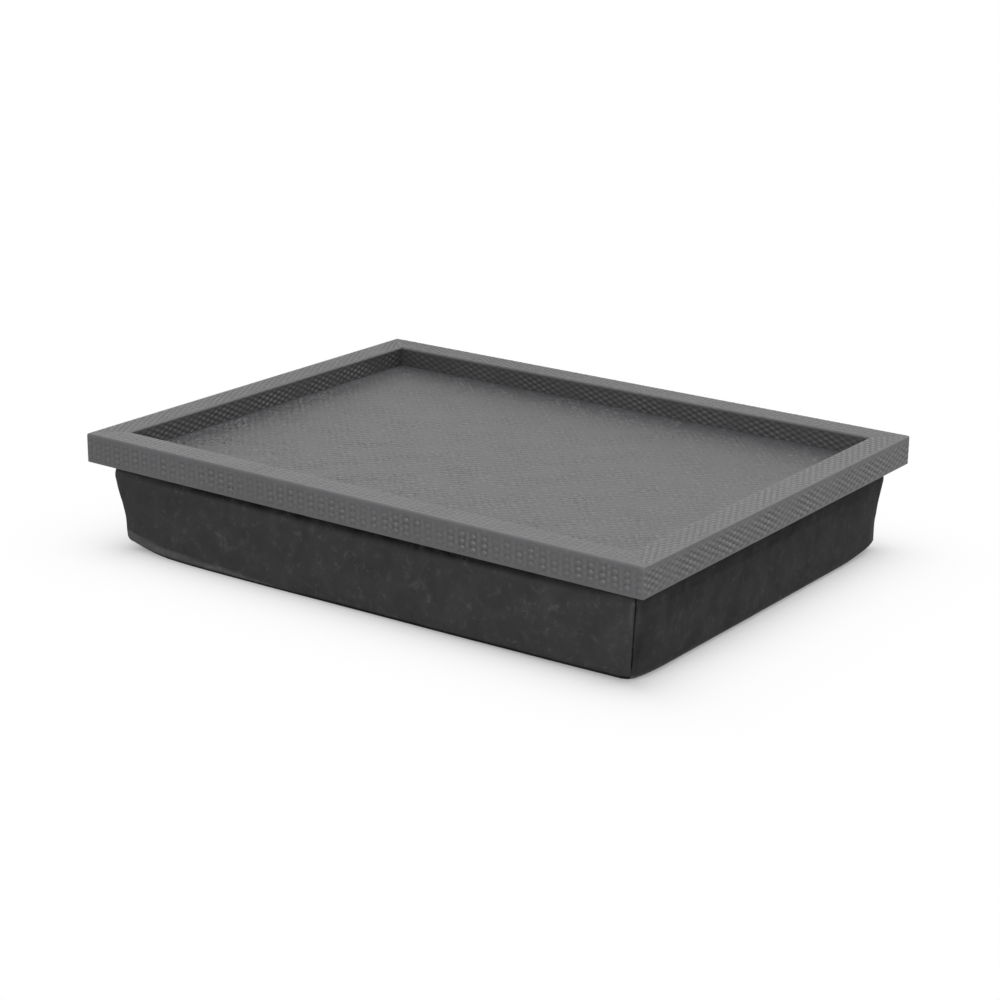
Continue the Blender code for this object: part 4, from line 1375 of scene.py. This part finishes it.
        # The ring nearest the seam follows its lifted corners, and the rest lie flat
        inner[..., 2] = np.array([0.8, 0.5, 0.2, 0, 0, 0, 0, 0])[:, None] * edge[:, 2]
        rings = np.concatenate((edge[None], inner))
        count = rings.shape[1]
        points = np.concatenate((rings.reshape(-1, 3), [[0, 0, 0]]))
        index = np.arange(count * len(rings)).reshape(-1, count)
        fan = np.stack((np.full(count, index.size), index[-1], np.roll(index[-1], -1)), axis=1)
        faces = [grid_faces(index, closed_columns=True), fan]
        piece = make("suede_bottom", points, faces, SUEDE)
        self.face_outwards(piece)
        thicken(piece, self.suede, 0)
        return settle(piece, "cushion", "suede_cloth", "cover_bottom_panel")

    def sew_top(self, filled: Array) -> Object:
        """The cotton top, from the roll's seam to the hem of the slit for the zip.

        Each ring is a blend between the seam's loop and the slit's, whose points are the
        loop's squeezed to the slit's half sizes.
        """
        edge = filled[0]
        half_x, half_y = np.abs(edge[:, 0]).max(), np.abs(edge[:, 1]).max()
        slit = edge / (half_x, half_y, 1) * (*self.slit, 1)
        shares = np.concatenate((np.linspace(0, 0.93, 20), [0.96, 0.98, 0.992, 1.0]))
        rings = edge + shares[:, None, None] * (slit - edge)
        dimple = np.sin(rings[..., 0] / (21 * MM)) * np.sin(rings[..., 1] / (17 * MM))
        rings[..., 2] = self.form.height - 0.35 * MM * (1 + dimple) * smooth(shares * 6)[:, None]
        rings[0, :, 2] -= 0.3 * MM
        hem = rings[-1:] - (0, 0, 0.7 * MM)
        rings = np.concatenate((rings, hem))
        index = np.arange(rings[..., 0].size).reshape(rings.shape[:2])
        piece = make("cotton_top", rings, [grid_faces(index, closed_columns=True)], DRILL)
        self.face_outwards(piece)
        thicken(piece, self.cotton, 0)
        return settle(piece, "cushion", "cotton_drill", "cover_top_panel")

    def build(self) -> list[Object]:
        """The whole cover and what it holds."""
        filled = self.filled()
        inside = Filling(self.form, self.swell(filled)).build()
        sides = [self.sew_side(side, filled) for side in Side]
        return [*inside, *sides, self.sew_bottom(filled), self.sew_top(filled)]


def slab(x: Array, y: Array, low: Array | float, high: Array | float) -> tuple[Array, list[Array]]:
    """A closed flat body over a grid, with a floor and a roof of their own heights.

    Args:
        x: the grid's places along X.
        y: its places along Y.
        low: the heights of its underside, as one number or one for each grid point.
        high: the heights of its top.

    Returns:
        The points and the groups of faces.
    """
    across, along = np.meshgrid(y, x, indexing="ij")
    roof = np.stack((along, across, np.broadcast_to(high, along.shape)), axis=-1)
    floor = np.stack((along, across, np.broadcast_to(low, along.shape)), axis=-1)
    index = np.arange(along.size).reshape(along.shape)
    rim = rim_of(index)
    walls = grid_faces(np.stack((rim, rim + along.size)), closed_columns=True)
    points = np.concatenate((roof.reshape(-1, 3), floor.reshape(-1, 3)))
    return points, [grid_faces(index), grid_faces(index + along.size), walls]


def tube(path: Array, radius: float, around: int = 6) -> tuple[Array, list[Array]]:
    """A round tube along a path, closed at its ends.

    A ring's points are the path's point plus the radius times the cosine and sine of the
    turn along the two directions square to the path.

    Args:
        path: the points that it follows.
        radius: its radius.
        around: how many points each ring has.

    Returns:
        The points and the groups of faces.
    """
    ahead = np.gradient(path, axis=0)
    ahead /= np.linalg.norm(ahead, axis=1, keepdims=True)
    beside = np.cross(ahead, (0.3, 0.5, 0.81))
    beside /= np.linalg.norm(beside, axis=1, keepdims=True)
    above = np.cross(ahead, beside)
    turn = np.arange(around) * 2 * math.pi / around
    rings = path[:, None] + radius * (
        np.cos(turn)[:, None] * beside[:, None] + np.sin(turn)[:, None] * above[:, None]
    )
    return closed_body(rings)


def repeated(points: Array, faces: Sequence[Array], places: Array) -> tuple[Array, list[Array]]:
    """Copies of a small shape at many places, as whole arrays.

    Args:
        points: the shape's points, with one set for all places or a set for each.
        faces: its groups of faces.
        places: where each copy goes.

    Returns:
        The points and the groups of faces of them all.
    """
    shapes = np.broadcast_to(points, (len(places), *points.shape[-2:]))
    moved = shapes + places[:, None]
    shift = np.arange(len(places))[:, None, None] * points.shape[-2]
    groups = [(np.asarray(g)[None] + shift).reshape(-1, np.shape(g)[1]) for g in faces]
    return moved.reshape(-1, 3), groups


def joined(*parts: tuple[Array, Sequence[Array]]) -> tuple[Array, list[Array]]:
    """Several sets of points and faces as one."""
    points, groups, count = [], [], 0
    for some, faces in parts:
        groups += [np.asarray(group) + count for group in faces]
        points.append(some)
        count += len(some)
    return np.concatenate(points), groups


def stitches(path: Array, length: float, gap: float, width: float) -> tuple[Array, list[Array]]:
    """A line of machine stitches: short threads that dive into the cloth at both ends.

    Each stitch is a spindle of four rings of four points, lifted as half a sine wave.

    Args:
        path: the line's corners, in order.
        length: one stitch's length.
        gap: the space between two stitches.
        width: the thread's thickness.

    Returns:
        The points and the groups of faces.
    """
    legs = np.diff(path, axis=0)
    spans = np.linalg.norm(legs, axis=1)
    places, turns = [], []
    for start, leg, span in zip(path[:-1], legs, spans):
        count = max(1, int(span // (length + gap)))
        share = (np.arange(count) + 0.5) / count
        places.append(start + leg * share[:, None])
        turns.append(np.tile(leg / span, (count, 1)))
    place, ahead = np.concatenate(places), np.concatenate(turns)
    beside = np.cross(ahead, (0, 0, 1.0))
    beside /= np.maximum(np.linalg.norm(beside, axis=1, keepdims=True), 1e-9)
    share = np.array([-0.5, -0.28, 0.28, 0.5])
    thick = width / 2 * np.array([0.35, 1, 1, 0.35])
    lift = width * (np.cos(share * math.pi) - 0.35)
    turn = np.arange(4) * math.pi / 2 + math.pi / 4
    sideways = thick[:, None] * np.cos(turn)
    upward = lift[:, None] + thick[:, None] * np.sin(turn)
    shapes = (
        share[None, :, None, None] * length * ahead[:, None, None]
        + sideways[None, :, :, None] * beside[:, None, None]
        + upward[None, :, :, None] * np.array((0, 0, 1.0))
    ).reshape(len(place), 16, 3)
    index = np.arange(16).reshape(4, 4)
    faces = [grid_faces(index, closed_columns=True), index[:1], index[-1:]]
    return repeated(shapes, faces, place)


@dataclass
class Filling:
    """What the cover holds: a calico liner sewn shut over polystyrene beads."""

    form: CushionForm
    swell: Array
    liner_gap: float = 2.1 * MM
    fill_gap: float = 2.9 * MM
    liner_radius: float = 22 * MM
    liner_top: float = 68.6 * MM
    liner_bottom: float = 1.5 * MM
    bead_room: float = 0.8 * MM
    fill: float = 0.85

    def body(self, gap: float, top: float, bottom: float, radius: float) -> Array:
        """Rings of a closed body inside the cover, from its top's middle to its bottom's.

        The side is the cover's own form drawn in by the gap, with its swelling. Heights
        are squeezed between the body's bottom and top.
        """
        form = replace(self.form, corner_radii=(radius,) * 4)
        rows = form.profile()
        loops = form.lifted(form.loops(rows, gap)) + self.swell
        height = loops[..., 2:]
        full = self.form.roll_height + self.form.roll_size[1]
        squeezed = bottom + (top - bottom) * np.clip(height / full, 0, 1)
        loops = np.concatenate((loops[..., :2], squeezed), axis=-1)
        shares = (0.975, 0.93, 0.86, 0.76, 0.64, 0.5, 0.36, 0.22, 0.09)
        over = ring_caps(loops[0], shares)[::-1]
        sink = np.sin(over[..., 0] / (24 * MM)) * np.sin(over[..., 1] / (19 * MM))
        over[..., 2] = top - 1.2 * MM - 0.8 * MM * sink
        under = ring_caps(loops[-1], shares, bottom)
        return np.concatenate((over, loops, under))

    def sew_liner(self) -> Object:
        """The calico bag, with puckers along the seam where its lid is sewn on.

        The puckers are sine waves round the bag, strongest at the seam's height.
        """
        rings = self.body(self.liner_gap, self.liner_top, self.liner_bottom, self.liner_radius)
        around = np.arange(rings.shape[1]) * 2 * math.pi / rings.shape[1]
        near = bell(rings[..., 2], self.liner_top - 5 * MM, 5 * MM)
        pull = 1 - 0.0016 * near * (1 + np.sin(around * 61) * np.sin(around * 17 + 1))
        rings[..., :2] *= pull[..., None]
        piece = make("liner_bag", *closed_body(rings), CALICO)
        return settle(piece, "cushion", "calico", "liner_tub", "liner_lid")

    def pour_beads(self) -> Object:
        """The beads as one body, whose surface is dimpled by its finish."""
        top, bottom = self.liner_top - self.bead_room, self.liner_bottom + self.bead_room
        rings = self.body(self.fill_gap, top, bottom, self.liner_radius)
        piece = make("bead_filling_poured", *closed_body(rings), BEADS)
        return settle(piece, "cushion", "beads", "bead_filling")

    def build(self) -> list[Object]:
        """The liner and the beads."""
        return [self.sew_liner(), self.pour_beads()]


@dataclass
class Fastening:
    """Hook strips below the tray, and loop strips sewn on the cushion. Sizes in metres."""

    hook_pitch: float = 2.0 * MM
    hook_thread: float = 0.24 * MM
    tape: float = 0.55 * MM
    selvedge: float = 1.6 * MM

    def weave_loops(self, side: Side) -> list[Object]:
        """A loop strip: a tape with a fuzzy pile between plain selvedges, and its stitches.

        The pile's height is a product of short sine waves at right angles, which runs out
        at the selvedges.
        """
        node = f"loop_strip_{side.label}"
        low, high = box_of(node)
        size = high - low
        x = np.linspace(low[0], high[0], round(size[0] / (1.1 * MM)) + 1)
        y = np.linspace(low[1], high[1], round(size[1] / (1.1 * MM)) + 1)
        across, along = np.meshgrid(y, x, indexing="ij")
        middle = (low + high) / 2
        off_x, off_y = np.abs(along - middle[0]), np.abs(across - middle[1])
        edge = np.minimum(size[0] / 2 - off_x, size[1] / 2 - off_y)
        fuzz = np.sin(along / (0.71 * MM)) * np.sin(across / (0.67 * MM) + along / (2.3 * MM))
        pile = smooth((edge - self.selvedge) / (0.8 * MM))
        top = low[2] + self.tape + pile * (size[2] - self.tape - 0.2 * MM + 0.2 * MM * fuzz)
        name = f"loop_tape_{side.label}"
        piece = make(name, *slab(x, y, low[2], top), LOOP_PILE)
        settle(piece, "cushion", "loop_tape", node)
        inset = self.selvedge / 2
        corners = [(low[0], low[1]), (high[0], low[1]), (high[0], high[1]), (low[0], high[1])]
        path = np.array([(*c, low[2] + self.tape) for c in [*corners, corners[0]]])
        path[:, :2] += np.sign(middle[:2] - path[:, :2]) * inset
        sewn = make(f"loop_stitches_{side.label}", *stitches(path, *STITCH), THREAD)
        return [piece, settle(sewn, "cushion", "loop_tape")]

    def hook(self) -> tuple[Array, list[Array]]:
        """One hook: a tapering three-sided thread along a bent path of six points."""
        bend = np.array([(0, 0), (0, 0.35), (0.08, 0.62), (0.3, 0.74), (0.52, 0.66), (0.6, 0.46)])
        path = np.stack((bend[:, 0], np.zeros(len(bend)), -bend[:, 1]), axis=1) * MM
        turn = np.arange(3) * 2 * math.pi / 3
        taper = self.hook_thread / 2 * np.array([1.3, 1, 1, 0.95, 0.85, 0.6])
        ahead = np.gradient(path, axis=0)
        ahead /= np.linalg.norm(ahead, axis=1, keepdims=True)
        beside = np.array((0, 1.0, 0))
        above = np.cross(ahead, beside)
        rings = path[:, None] + taper[:, None, None] * (
            np.cos(turn)[:, None] * beside + np.sin(turn)[:, None] * above[:, None]
        )
        index = np.arange(18).reshape(6, 3)
        return rings.reshape(-1, 3), [grid_faces(index, closed_columns=True), index[:1], index[-1:]]

    def mould_hooks(self, side: Side) -> Object:
        """A hook strip: a thin tape under the tray with rows of moulded hooks pointing down."""
        node = f"hook_strip_{side.label}"
        low, high = box_of(node)
        x = np.linspace(low[0], high[0], 12)
        y = np.linspace(low[1], high[1], 4)
        base = slab(x, y, high[2] - self.tape, high[2])
        margin = self.selvedge + 0.6 * MM
        places_x = np.arange(low[0] + margin, high[0] - margin, self.hook_pitch)
        places_y = np.arange(low[1] + margin, high[1] - margin, self.hook_pitch)
        along, across = np.meshgrid(places_x, places_y)
        along[1::2] += self.hook_pitch / 2
        level = np.full(along.size, high[2] - self.tape + 0.02 * MM)
        places = np.stack((along.ravel(), across.ravel(), level), axis=1)
        points, faces = self.hook()
        points = points * (1, 1, (high[2] - low[2] - self.tape) / (0.87 * MM))
        hooks = repeated(points, faces, places)
        piece = make(f"hook_tape_{side.label}", *joined(base, hooks), HOOK_NYLON)
        return settle(piece, "tray", "hook_tape", node)

    def build(self) -> list[Object]:
        """All strips on all four sides."""
        pieces = [piece for side in Side for piece in self.weave_loops(side)]
        return pieces + [self.mould_hooks(side) for side in Side]


@dataclass
class Zip:
    """The cover's zip: two woven tapes, two nylon coils, their stops and the stitching.

    The seams are the distances of the rows of stitches from the slit's middle line.
    """

    pitch: float = 1.5 * MM
    wire: float = 0.3 * MM
    rib: float = 0.9 * MM
    seams: tuple[float, float] = (8.2 * MM, 11.4 * MM)
    seam_end: float = 4 * MM

    def weave_tape(self, name: str) -> Object:
        """A ribbed tape whose thickness varies as a sine across it."""
        low, high = box_of(name)
        x = np.linspace(low[0], high[0], 60)
        y = np.linspace(low[1], high[1], 53)
        ribs = 0.07 * MM * (1 + np.sin((y - low[1]) / self.rib * 2 * math.pi))[:, None]
        points, faces = slab(x, y, low[2], high[2] - np.broadcast_to(ribs, (53, 60)))
        piece = make(f"{name}_woven", points, faces, ZIP_TAPE)
        return settle(piece, "cushion", "zip_tape", name)

    def wind_coil(self, name: str) -> Object:
        """A coil: a wire along a flattened helix, with its heads turned to the middle."""
        low, high = box_of(name)
        size, middle = high - low, (low + high) / 2
        turns = size[0] / self.pitch
        turn = np.linspace(0, turns * 2 * math.pi, round(turns * 12) + 1)
        toward = -np.sign(middle[1])
        path = np.stack(
            (
                low[0] + self.wire + (size[0] - 2 * self.wire) * turn / turn[-1],
                middle[1] + toward * (size[1] / 2 - self.wire) * np.cos(turn),
                middle[2] + (size[2] / 2 - self.wire) * np.sin(turn),
            ),
            axis=1,
        )
        piece = make(f"{name}_wound", *tube(path, self.wire, 5), COIL_NYLON)
        return settle(piece, "cushion", "zip_coil", name)

    def cast_stop(self, name: str) -> Object:
        """A rounded stop: a ball whose coordinates, raised to 0.45, fill its box out."""
        low, high = box_of(name)
        lat = np.linspace(-math.pi / 2, math.pi / 2, 13)[1:-1, None]
        lon = np.linspace(0, 2 * math.pi, 25)[None, :-1]
        unit = np.stack(
            (np.cos(lat) * np.cos(lon), np.cos(lat) * np.sin(lon), np.sin(lat) + 0 * lon), axis=-1
        )
        rounded = np.sign(unit) * np.abs(unit) ** 0.45
        rings = (low + high) / 2 + rounded * (high - low) / 2
        piece = make(f"{name}_cast", *closed_body(rings), NICKEL)
        return settle(piece, "cushion", "zip_metal", name)

    def sew(self) -> Object:
        """Two rows of stitches through the cotton, along each side of the slit."""
        low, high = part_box("zip_tape_back")
        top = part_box("cover_top_panel")[1].z - 0.05 * MM
        rows = []
        for y in self.seams:
            for sign in (-1, 1):
                ends = [(x, sign * y, top) for x in (low.x + self.seam_end, high.x - self.seam_end)]
                rows.append(stitches(np.array(ends), *STITCH))
        piece = make("zip_stitches", *joined(*rows), THREAD)
        return settle(piece, "cushion", "zip_tape")

    def build(self) -> list[Object]:
        """The whole zip but for its slider and pull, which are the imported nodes."""
        pieces = [self.weave_tape(f"zip_tape_{end}") for end in ("front", "back")]
        pieces += [self.wind_coil(f"zip_coil_{end}") for end in ("front", "back")]
        pieces += [self.cast_stop(f"zip_{end}_stop") for end in ("bottom", "top")]
        return [*pieces, self.sew()]


@dataclass(frozen=True)
class Softbox:
    """A square soft light that faces the tray, with its place and size in metres."""

    name: str
    place: tuple[float, float, float]
    size: float
    power: float

    def hang(self) -> None:
        """Put the light in the scene."""
        lamp = bpy.data.lights.new(self.name, "AREA")
        lamp.shape, lamp.size, lamp.energy = "SQUARE", self.size, self.power
        holder = bpy.data.objects.new(self.name, lamp)
        aim = (-Vector(self.place)).to_track_quat("-Z", "Y").to_matrix()
        holder.matrix_world = Matrix.Translation(self.place) @ aim.to_4x4()
        bpy.context.scene.collection.objects.link(holder)


@dataclass
class Studio:
    """The camera at the photograph's angle, a white floor, and soft light from above."""

    azimuth: float = 35.4186
    elevation: float = 17.869
    roll: float = 0.7188
    distance: float = 1.9513
    target: tuple[float, float, float] = (0.0, 0.0, 0.1)
    shift: tuple[float, float] = (-0.00056, -0.0552)
    lens: float = 83.67
    sensor: float = 36.0
    softboxes: tuple[Softbox, ...] = (
        Softbox("overhead", (0.0, 0.2, 2.0), 2.4, 25.0),
        Softbox("back", (0.9, 1.3, 1.3), 1.4, 8.0),
        Softbox("front", (0.3, -2.3, 1.0), 1.6, 23.0),
        Softbox("right", (2.2, -0.6, 1.0), 1.6, 13.0),
        Softbox("left", (-2.2, 0.5, 1.2), 1.4, 4.0),
    )
    sky: float = 0.02
    glow: float = 0.09
    floor_size: float = 30.0
    foot: tuple[float, float, float] = (0.247, 0.19, 1.0)
    foot_shift: tuple[float, float, float] = (-0.01, 0.0, 0.0)
    burn: tuple[float, float, float] = (0.034, 0.026, 1.0)
    kept_shade: float = 0.82

    def place_camera(self) -> None:
        """Stand the camera back from its target, shifted along its own right and up axes."""
        a, e, r = (math.radians(x) for x in (self.azimuth, self.elevation, self.roll))
        back = np.array((math.sin(a) * math.cos(e), -math.cos(a) * math.cos(e), math.sin(e)))
        right = np.array((math.cos(a), math.sin(a), 0.0))
        up = np.cross(back, right)
        right, up = math.cos(r) * right + math.sin(r) * up, math.cos(r) * up - math.sin(r) * right
        place = np.array(self.target) + back * self.distance
        place = place + right * self.shift[0] + up * self.shift[1]
        camera = bpy.data.objects.new("camera", bpy.data.cameras.new("camera"))
        matrix = np.eye(4)
        matrix[:3, :4] = np.stack((right, up, back, place), axis=1)
        camera.matrix_world = Matrix(matrix.tolist())
        camera.data.lens, camera.data.sensor_width = self.lens, self.sensor
        camera.data.clip_end = 100
        bpy.context.scene.collection.objects.link(camera)
        bpy.context.scene.camera = camera

    def lay_floor(self) -> None:
        """A white floor that glows faintly to the camera, and fades to white further out."""
        half = self.floor_size / 2
        corners = np.array([(-half, -half), (half, -half), (half, half), (-half, half)])
        mesh = bpy.data.meshes.new("floor")
        mesh.from_pydata([(*c, -0.15 * MM) for c in corners.tolist()], [], [(0, 1, 2, 3)])
        finish = bpy.data.materials.new("white_paper_floor")
        finish.use_nodes = True
        tree = finish.node_tree
        tree.nodes.clear()
        white = add(tree, "BsdfDiffuse", Color=(0.9, 0.9, 0.9, 1))
        rays = add(tree, "LightPath").node.outputs
        seen = add(tree, "Math", rays["Is Camera Ray"], rays["Is Glossy Ray"], operation="MAXIMUM")
        seen = add(tree, "Math", seen, self.glow, operation="MULTIPLY")
        glow = add(tree, "Emission", Strength=seen)
        near = add(tree, "AddShader", white, glow)
        place = add(tree, "TexCoord", out="Object")
        # The paper burns out to white the further it lies from the cushion's foot
        away = add(tree, "VectorMath", place, self.foot_shift, operation="ADD")
        away = add(tree, "VectorMath", away, operation="ABSOLUTE")
        away = add(tree, "VectorMath", away, self.foot, operation="SUBTRACT")
        away = add(tree, "VectorMath", away, (0, 0, 0), operation="MAXIMUM")
        away = add(tree, "VectorMath", away, self.burn, operation="DIVIDE")
        away = add(tree, "VectorMath", away, operation="LENGTH", out="Value")
        away = add(tree, "Math", away, -1.0, operation="MULTIPLY")
        kept = add(tree, "Math", away, operation="EXPONENT")
        kept = add(tree, "Math", kept, self.kept_shade, operation="MULTIPLY")
        seen = add(tree, "Math", kept, rays["Is Camera Ray"], operation="MULTIPLY")
        far = add(tree, "Math", rays["Is Camera Ray"], seen, operation="SUBTRACT")
        plain = add(tree, "Emission", Strength=1.0)
        add(tree, "OutputMaterial", add(tree, "MixShader", far, near, plain))
        mesh.materials.append(finish)
        floor = bpy.data.objects.new("floor", mesh)
        bpy.context.scene.collection.objects.link(floor)

    def hang_lights(self) -> None:
        """The softboxes, and a dim even sky that looks white to the camera and in gloss."""
        for softbox in self.softboxes:
            softbox.hang()
        world = bpy.data.worlds.new("studio")
        world.use_nodes = True
        tree = world.node_tree
        tree.nodes.clear()
        rays = add(tree, "LightPath").node.outputs
        seen = add(tree, "Math", rays["Is Camera Ray"], rays["Is Glossy Ray"], operation="MAXIMUM")
        seen = add(tree, "Math", seen, rays["Is Transmission Ray"], operation="MAXIMUM")
        strength = add(tree, "MapRange", seen, 0.0, 1.0, self.sky, 1.0)
        add(tree, "OutputWorld", add(tree, "Background", (1, 1, 1, 1), strength))
        bpy.context.scene.world = world

    def build(self) -> None:
        """Set everything up, with plain colours out."""
        bpy.context.scene.view_settings.view_transform = "Standard"
        self.place_camera()
        self.lay_floor()
        self.hang_lights()


def dress_frame() -> None:
    """Give each CAD node that stays its finish: the first start here that fits its name."""
    finishes = {
        "rail_core_left": POPLAR_ACROSS,
        "rail_core_right": POPLAR_ACROSS,
        "rail_core": POPLAR,
        "mitre_key": POPLAR,
        "base_panel": PLYWOOD,
        "panel_screw": ZINC_STEEL,
        "zip_slider": NICKEL,
        "zip_pull": NICKEL,
    }
    for name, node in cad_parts.items():
        for start, finish in finishes.items():
            if name.startswith(start):
                node.data.materials.clear()
                node.data.materials.append(finish.material())
                break


def main() -> None:
    """Build the studio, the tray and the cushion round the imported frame."""
    logging.basicConfig(level=logging.INFO, format="%(message)s")
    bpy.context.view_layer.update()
    Studio().build()
    dress_frame()
    LeatherTray().build()
    BeanCushion().build()
    Fastening().build()
    Zip().build()


if __name__ == "__main__":
    main()
